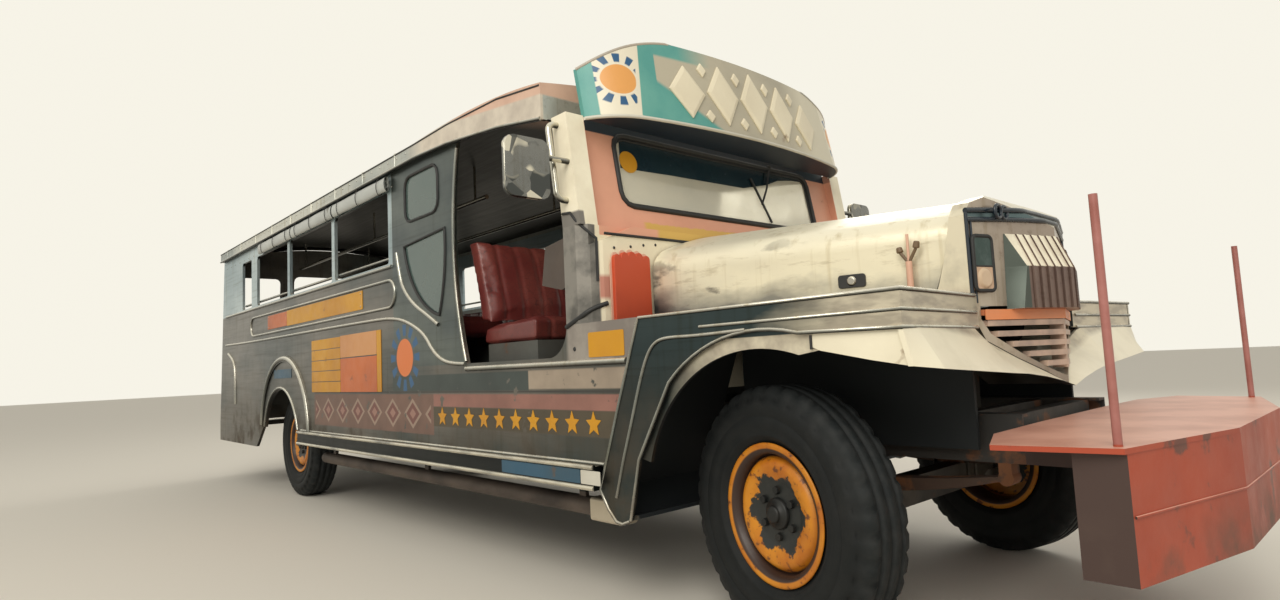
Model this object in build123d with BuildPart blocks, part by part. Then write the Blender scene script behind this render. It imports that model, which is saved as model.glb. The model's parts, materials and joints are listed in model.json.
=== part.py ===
from build123d import *
from math import atan2, cos, radians, sin, sqrt, tan
import os

# A long stainless jeepney, in millimetres: +X forward, +Y to its left, +Z up.
# The origin lies on the ground at the middle of the vehicle's box.
# Stations along the vehicle are counted forward from the front axle.

# Driving dimensions
wheelbase = 4400
front_reach = 1012
rear_overhang = 1800
rear_step_depth = 130
rear_reach = wheelbase + rear_overhang + rear_step_depth
front_axle_x = (rear_reach - front_reach) / 2
rear_axle = -wheelbase
body_half = 925
sheet = 20
seat_gap = 0.3
swing_gap = 8

# Heights above the ground
skirt_z = 500
apron_z = 340
door_sill_z = 890
deck_z = 1010
cowl_z = 1380
sill_z = 1435
window_top_z = 1850
gutter_z = 1943
roof_rise = 225

# Stations of the body
firewall = -700
doorway_front = -850
doorway_rear = -1620
b_post = -2400
body_rear = rear_axle - rear_overhang
roof_rear = body_rear + 140
nose = 440

# Wheels and tyres
tyre_radius = 385
tyre_width = 190
rim_radius = 190
rim_flange = 213
rim_width = 150
half_track = 720
hub_bore = 38
hub_radius = 62
king_pin_y = 600
steer_at_rest = -11

# Heights that the springs carry up with the axles
rail_low = tyre_radius + 135
rail_high = rail_low + 140
floor_low = rail_high + 50
floor_top = floor_low + 25

# Frame and running gear
rail_y = 340
rail_width = 60
rail_wall = 8
spring_width = 58
axle_tube = 52
spring_seat_z = tyre_radius + 20

# Hood, nose and fenders
hood_sheet = 12
hood_rear_half = 615
hood_front_half = 378
hood_rear_top = 1400
hood_front_top = 1348
hinge_x = firewall + 4
hinge_z = hood_rear_top - 4
hinge_barrel = 7
hinge_pin = 3
cowl_barrels = [(-150, 60), (-30, 60), (90, 60)]
hood_barrels = [(-89.5, 59), (30.5, 59)]
fender_outer = body_half + 7
fender_sheet = 14
prow_rise = 110
prow_half = 400
fender_inner = prow_half + seat_gap
slat_count = 6
slat_pitch = 32

os.makedirs("parts", exist_ok=True)


# Working planes: x is counted from the front axle on each of them
def side(y):
    return Plane(origin=(front_axle_x, y, 0), x_dir=(1, 0, 0), z_dir=(0, -1, 0))


def cross(x):
    return Plane(origin=(front_axle_x + x, 0, 0), x_dir=(0, 1, 0), z_dir=(1, 0, 0))


def level(z):
    return Plane(origin=(front_axle_x, 0, z), x_dir=(1, 0, 0), z_dir=(0, 0, 1))


def outline(*points, mode=Mode.ADD):
    Polygon(*points, align=None, mode=mode)


def keep(builder, name):
    builder.part.label = name
    export_step(builder.part, f"parts/{name}.step")


# Ladder frame: two C rails open inwards, with cross members between them
rail_front = nose + prow_rise - 10
rail_back = body_rear + 120
rail_out = -rail_y - rail_width / 2
rail_in = -rail_y + rail_width / 2
cross_members = [rail_front - 60, 330, -1250, -2100, -2950, rear_axle + 420, rear_axle - 500, rail_back + 60]
with BuildPart() as chassis_frame:
    with BuildSketch(cross(rail_back)):
        outline(
            (rail_out, rail_low), (rail_in, rail_low),
            (rail_in, rail_low + rail_wall), (rail_out + rail_wall, rail_low + rail_wall),
            (rail_out + rail_wall, rail_high - rail_wall), (rail_in, rail_high - rail_wall),
            (rail_in, rail_high), (rail_out, rail_high),
        )
    extrude(amount=rail_front - rail_back)
    mirror(about=Plane.XZ)
    for station in cross_members:
        with BuildSketch(side(rail_y - rail_width / 2 + rail_wall)):
            with Locations((station, rail_high - 40)):
                Rectangle(50, 70)
        extrude(amount=2 * (rail_y - rail_width / 2 + rail_wall))
keep(chassis_frame, "chassis_frame")

# Floor on its cross bearers, with the rear wheelhouses and the boxes that carry the seats
floor_front = firewall - sheet
wheelhouse_half = tyre_radius + 60
wheelhouse_in = half_track - tyre_width / 2 - 60
wheelhouse_top = 2 * tyre_radius + 80
seat_half = body_half - sheet - 45
seat_box_top = floor_top + 238
bench_top = floor_top + 400
bench_in = wheelhouse_in - 60
bench_front = b_post + 480
bench_back = body_rear + 260
bearers = [-900, -1700, -2500, -3300, rear_axle + 520, rear_axle - 520, rear_axle - 1100, body_rear + 100]
with BuildPart() as floor_pan:
    with BuildSketch(level(floor_low)):
        outline(
            (floor_front, -body_half + sheet), (floor_front, body_half - sheet),
            (body_rear + 50, body_half - sheet), (body_rear + 50, -body_half + sheet),
        )
        for across in (-1, 1):
            with Locations((rear_axle, across * (wheelhouse_in + body_half) / 2)):
                Rectangle(2 * wheelhouse_half, body_half - wheelhouse_in, mode=Mode.SUBTRACT)
    extrude(amount=floor_top - floor_low)
    for across in (-1, 1):
        middle = across * (wheelhouse_in + body_half - sheet) / 2
        width = body_half - sheet - wheelhouse_in
        with BuildSketch(level(floor_low)):
            with Locations((rear_axle, middle)):
                Rectangle(2 * wheelhouse_half + 2 * sheet, width + 2 * sheet)
            with Locations((rear_axle, middle + across * sheet)):
                Rectangle(2 * wheelhouse_half, width + 2 * sheet, mode=Mode.SUBTRACT)
            with Locations((rear_axle, across * (body_half + 50))):
                Rectangle(4 * wheelhouse_half, 100 + 2 * sheet, mode=Mode.SUBTRACT)
        extrude(amount=wheelhouse_top - floor_low)
        with BuildSketch(level(wheelhouse_top)):
            with Locations((rear_axle, middle - across * sheet / 2)):
                Rectangle(2 * wheelhouse_half + 2 * sheet, width + sheet)
        extrude(amount=-sheet)
    for station in bearers:
        with BuildSketch(side(body_half - sheet - 60)):
            with Locations((station, (rail_high + floor_low) / 2)):
                Rectangle(60, floor_low - rail_high)
        extrude(amount=2 * (body_half - sheet - 60))
    with BuildSketch(level(floor_top)):
        with Locations((-1400, 0)):
            Rectangle(400, 2 * seat_half - 80)
            Rectangle(400 - 2 * sheet, 2 * seat_half - 80 - 2 * sheet, mode=Mode.SUBTRACT)
    extrude(amount=seat_box_top - floor_top)
    for across in (-1, 1):
        with BuildSketch(level(floor_top)):
            with Locations(((bench_front + bench_back) / 2, across * (bench_in + 20))):
                Rectangle(bench_front - bench_back, sheet)
        extrude(amount=bench_top - 100 - seat_gap - floor_top)
keep(floor_pan, "floor_pan")

# Engine, clutch housing and gearbox: one plain mass between the rails
with BuildPart() as engine_block:
    with BuildSketch(level(rail_low + 45)):
        with Locations((-170, 0)):
            Rectangle(700, 420)
    extrude(amount=560)
    chamfer(engine_block.faces().sort_by(Axis.Z)[-1].edges(), 60)
    with Locations(Plane(origin=(front_axle_x - 165, 0, rail_low + 45 + 560))):
        Box(480, 150, 60, align=(Align.CENTER, Align.CENTER, Align.MIN))
    for across in (-1, 1):
        with Locations((front_axle_x - 150, across * 250, rail_low + 90)):
            Box(90, 120, 60)
keep(engine_block, "engine_block")

# Gearbox and open propeller shaft down to the rear axle
shaft_front = (-1150, rail_low - 10)
shaft_back = (rear_axle + 171.5, tyre_radius)
with BuildPart() as driveline:
    with BuildSketch(cross(-520)):
        with Locations((0, rail_low + 70)):
            RectangleRounded(330, 200, 60)
    with BuildSketch(cross(-1100)):
        with Locations((0, rail_low - 5)):
            RectangleRounded(200, 150, 50)
    loft()
    run = sqrt((shaft_front[0] - shaft_back[0]) ** 2 + (shaft_front[1] - shaft_back[1]) ** 2)
    shaft_plane = Plane(
        origin=(front_axle_x + shaft_front[0] + 50, 0, shaft_front[1]),
        z_dir=(shaft_back[0] - shaft_front[0] - 50, 0, shaft_back[1] - shaft_front[1]),
    )
    with BuildSketch(shaft_plane):
        Circle(36)
    extrude(amount=run + 50 - seat_gap)
    for along in (60, run / 2, run - 20):
        with BuildSketch(shaft_plane.offset(along)):
            Circle(52)
        extrude(amount=60)
keep(driveline, "driveline")

# Lower side of the body: a steel-framed stainless panel with the rear wheel opening
arch_radius = tyre_radius + 15
arch_trim_radius = 570
arch_trim_z = 460
doorway_corner = deck_z - door_sill_z
fender_tail_low = (-644, skirt_z)
fender_tail_top = (-438, deck_z)
lean = (sill_z - skirt_z) * (roof_rear - body_rear) / (gutter_z - skirt_z)
with BuildPart() as side_panel_right:
    with BuildSketch(side(-body_half + sheet)):
        outline(
            (body_rear, apron_z), (rear_axle - 620, apron_z), (rear_axle - 430, skirt_z),
            (fender_tail_low[0], skirt_z), fender_tail_top, (doorway_front, deck_z),
            (doorway_front, door_sill_z), (b_post, door_sill_z), (b_post, sill_z),
            (body_rear + lean, sill_z), (body_rear, skirt_z),
        )
        with BuildLine() as corner:
            Polyline(
                (doorway_front - doorway_corner, door_sill_z), (doorway_front, door_sill_z),
                (doorway_front, door_sill_z + doorway_corner),
            )
            RadiusArc(
                (doorway_front, door_sill_z + doorway_corner),
                (doorway_front - doorway_corner, door_sill_z),
                doorway_corner,
            )
        make_face(corner.edges())
        with Locations((rear_axle, tyre_radius)):
            Circle(arch_radius, mode=Mode.SUBTRACT)
    extrude(amount=sheet)
    with BuildSketch(side(-body_half)):
        with Locations((rear_axle + 90, arch_trim_z)):
            Circle(arch_trim_radius)
            Circle(arch_trim_radius - 45, mode=Mode.SUBTRACT)
        with Locations((rear_axle + 90, arch_trim_z - arch_trim_radius + (skirt_z - arch_trim_z))):
            Rectangle(3 * arch_trim_radius, 2 * arch_trim_radius, mode=Mode.SUBTRACT)
    extrude(amount=sheet / 2)
keep(side_panel_right, "side_panel_right")
with BuildPart() as side_panel_left:
    mirror(side_panel_right.part, about=Plane.XZ)
keep(side_panel_left, "side_panel_left")

# Upper side: posts stand on the sill rail and carry the cant rail, which leaves three
# open windows and a narrow rear one; the rear post is wide and leans with the rear wall
post = 50
window_rows = [
    # from, to
    (rear_axle - 1040, rear_axle - 760),
    (rear_axle - 600, rear_axle + 210 - post / 2),
    (rear_axle + 210 + post / 2, rear_axle + 1110 - post / 2),
    (rear_axle + 1110 + post / 2, b_post - post),
]
frame_rise = 25
sill_rail_top = sill_z + sheet


def upper_rear(z):
    return body_rear + lean + (z - sill_z) * lean / (sill_z - skirt_z)


rail_rows = [
    # low, high
    (sill_z, sill_rail_top),
    (window_top_z, gutter_z + frame_rise),
]
with BuildPart() as window_rails:
    with BuildSketch(side(-body_half + sheet)):
        for low, high in rail_rows:
            outline((upper_rear(low), low), (b_post, low), (b_post, high), (upper_rear(high), high))
    extrude(amount=sheet)
    mirror(about=Plane.XZ)
keep(window_rails, "window_rails")
with BuildPart() as window_posts:
    with BuildSketch(side(-body_half + sheet)):
        first = window_rows[0][0]
        outline(
            (upper_rear(sill_rail_top), sill_rail_top), (first, sill_rail_top),
            (first, window_top_z), (upper_rear(window_top_z), window_top_z),
        )
        for row, (_, begin) in enumerate(window_rows):
            end = window_rows[row + 1][0] if row + 1 < len(window_rows) else b_post
            outline((begin, sill_rail_top), (end, sill_rail_top), (end, window_top_z), (begin, window_top_z))
    extrude(amount=sheet)
    mirror(about=Plane.XZ)
keep(window_posts, "window_posts")

# Quarter panel behind the doorway, with its small upper and leaf-shaped lower light
def quarter_lights(mode=Mode.ADD):
    with Locations((b_post + 355, 1760)):
        RectangleRounded(370, 240, 60, mode=mode)
    with BuildLine() as leaf:
        Line((b_post + 150, 1520), (b_post + 600, 1545))
        ThreePointArc((b_post + 600, 1545), (b_post + 590, 1330), (b_post + 530, 1130))
        ThreePointArc((b_post + 530, 1130), (b_post + 300, 1250), (b_post + 150, 1520))
    make_face(leaf.edges(), mode=mode)


with BuildPart() as quarter_panels:
    with BuildSketch(side(-body_half + sheet)):
        with BuildLine():
            Line((b_post, door_sill_z), (doorway_rear, door_sill_z))
            ThreePointArc(
                (doorway_rear, door_sill_z), (doorway_rear - 95, 1420), (doorway_rear - 40, gutter_z),
            )
            Line((doorway_rear - 40, gutter_z), (b_post, gutter_z + frame_rise))
            Line((b_post, gutter_z + frame_rise), (b_post, door_sill_z))
        make_face()
        quarter_lights(Mode.SUBTRACT)
    extrude(amount=sheet)
    mirror(about=Plane.XZ)
keep(quarter_panels, "quarter_panels")

# Rear wall: leans forward, with the open entrance between two windows
wall_lean = atan2(roof_rear - body_rear, gutter_z - skirt_z)
rear_plane = Plane(
    origin=(front_axle_x + body_rear, 0, skirt_z),
    x_dir=(0, 1, 0),
    z_dir=(cos(wall_lean), 0, -sin(wall_lean)),
)
entrance_half = 330
step_half = 620
wall_half = body_half - sheet
wall_spring = (gutter_z - skirt_z) / cos(wall_lean) + 40
with BuildPart() as rear_wall:
    with BuildSketch(rear_plane):
        with BuildLine():
            Polyline(
                (-wall_half, wall_spring), (-wall_half, apron_z - skirt_z),
                (-step_half - 20, apron_z - skirt_z), (-step_half - 20, 0),
                (step_half + 20, 0), (step_half + 20, apron_z - skirt_z),
                (wall_half, apron_z - skirt_z), (wall_half, wall_spring),
            )
            ThreePointArc((-wall_half, wall_spring), (0, wall_spring + 128), (wall_half, wall_spring))
        make_face()
        with Locations((0, (floor_low + window_top_z) / 2 - skirt_z)):
            RectangleRounded(2 * entrance_half, window_top_z - floor_low, 60, mode=Mode.SUBTRACT)
        for across in (-1, 1):
            with Locations((across * (entrance_half + wall_half) / 2, (sill_z + window_top_z) / 2 - skirt_z)):
                RectangleRounded(360, window_top_z - sill_z - 60, 50, mode=Mode.SUBTRACT)
    extrude(amount=sheet)
keep(rear_wall, "rear_wall")

# Roof: a shallow arched shell that bends down over the doorways
roof_half = body_half + 30
roof_side = 75
roof_sections = [
    # station, drop of the gutter, height of the side above it
    (-2050, 0, roof_side),
    (-1700, 16, roof_side + 24),
    (-1250, 64, roof_side + 58),
    (-925, 118, roof_side + 72),
]


def roof_profile(drop, rise, shell):
    half = roof_half - shell
    low = gutter_z - drop - shell / 2
    spring = low + rise
    with BuildLine() as arch:
        Polyline((-half, spring), (-half, low), (half, low), (half, spring))
        ThreePointArc((-half, spring), (0, gutter_z - drop + roof_rise - shell), (half, spring))
    make_face(arch.edges())


with BuildPart() as roof_panel:
    for shell, mode in ((0, Mode.ADD), (30, Mode.SUBTRACT)):
        with BuildSketch(cross(roof_rear)):
            roof_profile(0, roof_side, shell)
        extrude(amount=roof_sections[0][0] - roof_rear, mode=mode)
        for station, drop, rise in roof_sections:
            with BuildSketch(cross(station)):
                roof_profile(drop, rise, shell)
        loft(mode=mode)
    with BuildSketch(cross(roof_sections[-1][0] - sheet)):
        roof_profile(*roof_sections[-1][1:], 0)
        with Locations((0, gutter_z - roof_sections[-1][1])):
            Rectangle(2 * body_half, 8, mode=Mode.SUBTRACT)
    extrude(amount=sheet)
keep(roof_panel, "roof_panel")

# Cowl: firewall, square shoulders beside the hood, and the band under the hood's rear edge
with BuildPart() as cowl:
    with BuildSketch(level(deck_z)):
        outline(
            (doorway_front, -body_half), (firewall - 75, -body_half), (firewall - 28, -body_half + 30),
            (firewall - 6, -body_half + 75), (firewall, -body_half + 140), (firewall, body_half - 140),
            (firewall - 6, body_half - 75), (firewall - 28, body_half - 30), (firewall - 75, body_half),
            (doorway_front, body_half),
        )
    extrude(amount=cowl_z - deck_z)
    with BuildSketch(cross(firewall - 32)):
        outline((-body_half - 1, cowl_z + 1), (-700, cowl_z + 1), (-body_half - 1, cowl_z - 90))
        outline((body_half + 1, cowl_z + 1), (700, cowl_z + 1), (body_half + 1, cowl_z - 90))
    extrude(amount=40, mode=Mode.SUBTRACT)
    with BuildSketch(level(deck_z)):
        outline(
            (doorway_front, -body_half + sheet), (firewall - 90, -body_half + sheet),
            (firewall - 42, -body_half + 130), (firewall - 42, body_half - 130),
            (firewall - 90, body_half - sheet), (doorway_front, body_half - sheet),
        )
    extrude(amount=cowl_z - deck_z - sheet, mode=Mode.SUBTRACT)
    with BuildSketch(cross(firewall)):
        with Locations((0, (floor_top + deck_z) / 2)):
            Rectangle(2 * (body_half - sheet), deck_z - floor_top)
    extrude(amount=-sheet)
    for begin, length in cowl_barrels:
        with BuildSketch(side(begin + length)):
            with Locations((hinge_x, hinge_z)):
                Circle(hinge_barrel)
            outline(
                (hinge_x - 70, cowl_z), (hinge_x - 4, cowl_z), (hinge_x, hinge_z),
                (hinge_x - 10, hinge_z), (hinge_x - 70, cowl_z + 4),
            )
        extrude(amount=length)
    with BuildSketch(side(cowl_barrels[-1][0])):
        with Locations((hinge_x, hinge_z)):
            Circle(hinge_pin)
    extrude(amount=cowl_barrels[-1][0] - cowl_barrels[0][0])
keep(cowl, "cowl")

# Windscreen frame: leans back from the cowl, with a broad post each side
screen_lean = 10
screen_plane = Plane(
    origin=(front_axle_x - 800, 0, cowl_z),
    x_dir=(0, 1, 0),
    z_dir=(cos(radians(screen_lean)), 0, sin(radians(screen_lean))),
)
screen_half = 840
screen_height = 452
glass_half = 668
glass_height = 312
glass_low = 103
screen_depth = 30
with BuildPart() as windscreen_frame:
    with BuildSketch(screen_plane):
        with Locations((0, screen_height / 2)):
            Rectangle(2 * screen_half, screen_height)
        with Locations((0, glass_low + glass_height / 2)):
            RectangleRounded(2 * glass_half, glass_height, 60, mode=Mode.SUBTRACT)
    extrude(amount=screen_depth)
    with BuildSketch(side(-screen_half)):
        outline((-850, cowl_z), (-740, cowl_z), (-805, gutter_z - 118), (-899, gutter_z - 118))
    extrude(amount=body_half - screen_half)
    mirror(about=Plane.XZ)
    with BuildSketch(side(screen_half)):
        outline(
            (-925, gutter_z - 150), (-868, gutter_z - 150), (-868, gutter_z - 114), (-925, gutter_z - 114),
        )
    extrude(amount=2 * screen_half)
keep(windscreen_frame, "windscreen_frame")

# Glass of the windscreen and of the four quarter lights
with BuildPart() as window_glass:
    with BuildSketch(screen_plane.offset(screen_depth / 2)):
        with Locations((0, glass_low + glass_height / 2)):
            RectangleRounded(2 * glass_half, glass_height, 60)
    extrude(amount=6)
    with BuildSketch(side(-body_half + sheet / 2)):
        quarter_lights()
    quarter_panes = extrude(amount=6)
    mirror(quarter_panes, about=Plane.XZ)
keep(window_glass, "window_glass")

# Visor: a signboard over the windscreen, bowed forwards, arched on top, closed below
visor_half = screen_half - seat_gap
visor_low = gutter_z - 138
visor_plan = [
    # height, end station, shoulder station, middle station
    (visor_low, -792, -650, -588),
    (visor_low + 400, -872, -730, -668),
]
visor_shoulder = 640
visor_crown = 2172
visor_brow = 480
visor_end_top = 2025
visor_bend = (720, visor_end_top + 74)
visor_back = -1000


def visor_curve(end, shoulder, middle, depth):
    with BuildLine() as front:
        tip = end - depth
        bend = shoulder - depth
        corner = ((tip + bend) / 2 + 22, (visor_half + visor_shoulder) / 2 + 15)
        ThreePointArc((bend, -visor_shoulder), (middle - depth, 0), (bend, visor_shoulder))
        ThreePointArc((bend, visor_shoulder), corner, (tip, visor_half))
        ThreePointArc((tip, -visor_half), (corner[0], -corner[1]), (bend, -visor_shoulder))
    return front


with BuildPart() as visor:
    for depth, mode in ((0, Mode.ADD), (sheet, Mode.SUBTRACT)):
        for height, end, shoulder, middle in visor_plan:
            with BuildSketch(level(height)):
                edges = visor_curve(end, shoulder, middle, depth).edges()
                with BuildLine() as back:
                    Polyline(
                        (end - depth, visor_half), (visor_back, visor_half),
                        (visor_back, -visor_half), (end - depth, -visor_half),
                    )
                make_face(edges + back.edges())
        loft(mode=mode)
    height, end, shoulder, middle = visor_plan[0]
    with BuildSketch(level(height)):
        edges = visor_curve(end, shoulder, middle, 0).edges()
        with BuildLine() as back:
            Line((end, visor_half), (end, -visor_half))
        make_face(edges + back.edges())
    extrude(amount=15)
    with BuildSketch(cross(visor_back)):
        with BuildLine():
            Line((-visor_brow, visor_crown), (visor_brow, visor_crown))
            ThreePointArc((visor_brow, visor_crown), visor_bend, (visor_half, visor_end_top))
            Polyline(
                (visor_half, visor_end_top), (visor_half, visor_low),
                (-visor_half, visor_low), (-visor_half, visor_end_top),
            )
            ThreePointArc(
                (-visor_half, visor_end_top), (-visor_bend[0], visor_bend[1]), (-visor_brow, visor_crown),
            )
        make_face()
    extrude(amount=600, mode=Mode.INTERSECT)
keep(visor, "visor")


# Hood: one long stainless shell, wide at the cowl and narrow at the nose
def hood_profile(half, low, spring, top, corner):
    with BuildLine() as arch:
        Polyline((-half, spring), (-half, low), (half, low), (half, spring))
        ThreePointArc((-half, spring), (0, top), (half, spring))
    face = make_face(arch.edges())
    fillet(face.vertices().filter_by_position(Axis.Y, spring - 1, spring + 1), corner)


hood_front = nose - 58
hood_rear = firewall + swing_gap
hood_low = deck_z + 6
hood_ends = [
    # station, half width, spring height, top, corner radius
    (hood_rear, hood_rear_half, 1270, hood_rear_top, 110),
    (hood_front, hood_front_half, 1240, hood_front_top, 90),
]
with BuildPart() as hood:
    for shell, mode in ((0, Mode.ADD), (hood_sheet, Mode.SUBTRACT)):
        for station, half, spring, top, corner in hood_ends:
            with BuildSketch(cross(station)):
                hood_profile(half - shell, hood_low - shell, spring - shell / 3, top - shell, corner - shell)
        loft(mode=mode)
    with BuildSketch(side(hood_rear_half + 10)):
        with Locations((hinge_x, hinge_z)):
            Circle(hood_front - hinge_x + 12)
    extrude(amount=2 * hood_rear_half + 20, mode=Mode.INTERSECT)
    for begin, length in cowl_barrels:
        with BuildSketch(level(hood_rear_top + 5)):
            with Locations((hinge_x, begin + length / 2)):
                Rectangle(2 * hinge_barrel + 10, length + 1)
        extrude(amount=-40, mode=Mode.SUBTRACT)
    for begin, length in hood_barrels:
        with BuildSketch(side(begin + length)):
            with Locations((hinge_x, hinge_z)):
                Circle(hinge_barrel)
        extrude(amount=length)
        with BuildSketch(side(begin + length)):
            with Locations((hinge_x, hinge_z)):
                Circle(hinge_pin + seat_gap)
        extrude(amount=length, mode=Mode.SUBTRACT)
keep(hood, "hood")

# Nose shell: a heart-shaped prow, with the triangular grille opening at its foot
nose_outline_half = [
    # half width, height, from the shoulder down to the tip
    (375, 1288),
    (prow_half, 1250),
    (prow_half, 950),
    (352, 874),
    (222, 818),
    (100, 772),
]
nose_crown = 1352
prow_waist = 1000
nose_tip = 728
nose_back = 300
nose_roll = [(385, 1352), (490, 1288), (572, 1198)]
shell_wall = 14
opening_half = [
    # half width, height, of the opening for the bars
    (366, 976),
    (366, 938),
    (330, 893),
    (205, 832),
    (85, 782),
]
opening_tip = 752


def prow(front, depth, half):
    middle = front + prow_rise
    end = middle - prow_rise * half / prow_half
    outline(
        (end, -half), (middle, 0), (end, half),
        (end - depth, half), (middle - depth, 0), (end - depth, -half),
    )


def mirrored(rows, middle):
    return [*rows, (0, middle), *[(-y, z) for y, z in reversed(rows)]]


reach = prow_half + 10
with BuildPart() as grille_shell:
    for wall, mode in ((0, Mode.ADD), (shell_wall, Mode.SUBTRACT)):
        roll = [(x - wall, z - wall) for x, z in nose_roll]
        with BuildPart(mode=mode):
            with BuildSketch(level(nose_tip)):
                prow(nose - wall, nose - nose_back + prow_rise, reach)
                outline((nose_back, -reach), (nose - wall, -reach), (nose - wall, reach), (nose_back, reach))
                with Locations((nose_back / 2, 0)):
                    Rectangle(nose_back, 4 * reach, mode=Mode.SUBTRACT)
            extrude(amount=nose_crown - nose_tip)
            with BuildSketch(cross(nose_back)):
                with BuildLine():
                    crown_row = [
                        (max(y - wall, 0), z + (wall if z < prow_waist else -wall))
                        for y, z in nose_outline_half
                    ]
                    ThreePointArc((-crown_row[0][0], crown_row[0][1]), (0, nose_crown - wall), crown_row[0])
                    Polyline(*mirrored(crown_row, nose_tip + wall))
                make_face()
            extrude(amount=prow_rise + nose - nose_back + 10, mode=Mode.INTERSECT)
            with BuildSketch(side(reach)):
                with BuildLine():
                    Line((nose_back, roll[0][1]), roll[0])
                    ThreePointArc(*roll)
                    Polyline(roll[2], (roll[2][0], nose_tip), (nose_back, nose_tip), (nose_back, roll[0][1]))
                make_face()
            extrude(amount=2 * reach, mode=Mode.INTERSECT)
    with BuildSketch(side(reach)):
        with Locations((hinge_x, hinge_z)):
            Circle(hood_front - hinge_x + 12 + swing_gap)
    extrude(amount=2 * reach, mode=Mode.SUBTRACT)
    with BuildSketch(cross(nose - shell_wall - 5)):
        outline(*mirrored(opening_half, opening_tip))
    extrude(amount=prow_rise + shell_wall + 15, mode=Mode.SUBTRACT)
keep(grille_shell, "grille_shell")

# Grille: a ribbed box with a sloping brow, over a fan of bars that narrows to the prow's tip
bar_height = 17
bar_depth = 22
bar_top = 948
box_rows = [
    # height, how far it stands out, half width at the front, half width on the prow
    (966, 44, 242, 252),
    (1094, 44, 214, 246),
    (1198, 2, 238, 240),
]
rib_half = 5
rib_rise = 5
rib_pitch = 34
rib_count = 6


def on_prow(half):
    return nose + prow_rise * (1 - half / prow_half) + seat_gap


def opening_at(height):
    for (outer, above), (inner, below) in zip(opening_half, [*opening_half[1:], (0, opening_tip)]):
        if height >= below:
            return inner + (height - below) * (outer - inner) / (above - below)


with BuildPart() as grille:
    for index in range(slat_count):
        low = bar_top - index * slat_pitch
        with BuildSketch(level(low)):
            prow(nose + 6, bar_depth, opening_at(low) - seat_gap)
        extrude(amount=bar_height)
    with BuildSketch(level(bar_top - (slat_count - 1) * slat_pitch - 8)):
        outline((nose + 70, -7), (nose + 70, 7), (nose + prow_rise + 4, 7), (nose + prow_rise + 4, -7))
    extrude(amount=box_rows[0][0] + 2 - (bar_top - (slat_count - 1) * slat_pitch - 8))
    for lower, upper in zip(box_rows, box_rows[1:]):
        for height, out, front_half, base_half in (lower, upper):
            with BuildSketch(level(height)):
                outline(
                    (on_prow(base_half), -base_half), (on_prow(front_half) + out, -front_half),
                    (on_prow(0) + out, 0), (on_prow(front_half) + out, front_half),
                    (on_prow(base_half), base_half), (on_prow(0), 0),
                )
        loft(ruled=True)
        for index in range(-rib_count, rib_count):
            begin = (index + 0.5) * rib_pitch - rib_half
            end = begin + 2 * rib_half
            for height, out, front_half, base_half in (lower, upper):
                with BuildSketch(level(height)):
                    outline(
                        (on_prow(abs(begin)) + out - 2, begin), (on_prow(abs(begin)) + out + rib_rise, begin),
                        (on_prow(abs(end)) + out + rib_rise, end), (on_prow(abs(end)) + out - 2, end),
                    )
            loft(ruled=True)
keep(grille, "grille")

# Lamps: a tall stacked unit each side of the box on the prow's face, and a round one at each rear corner
lamp_y = 352
lamp_width = 82
lamp_height = 164
lamp_z = 1103
rear_lamp_radius = 46
rear_lamp_y = wall_half - 70
rear_lamp_up = 110
with BuildPart() as lamps:
    lamp_plane = Plane(
        origin=(front_axle_x + nose + prow_rise * (1 - lamp_y / prow_half) + seat_gap, -lamp_y, lamp_z),
        x_dir=(prow_rise, prow_half, 0),
        z_dir=(prow_half, -prow_rise, 0),
    )
    with BuildSketch(lamp_plane):
        RectangleRounded(lamp_width, lamp_height, 14)
    extrude(amount=14)
    with BuildSketch(rear_plane.offset(-seat_gap)):
        with Locations((-rear_lamp_y, rear_lamp_up)):
            Circle(rear_lamp_radius)
    extrude(amount=-34)
    mirror(about=Plane.XZ)
keep(lamps, "lamps")

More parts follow.
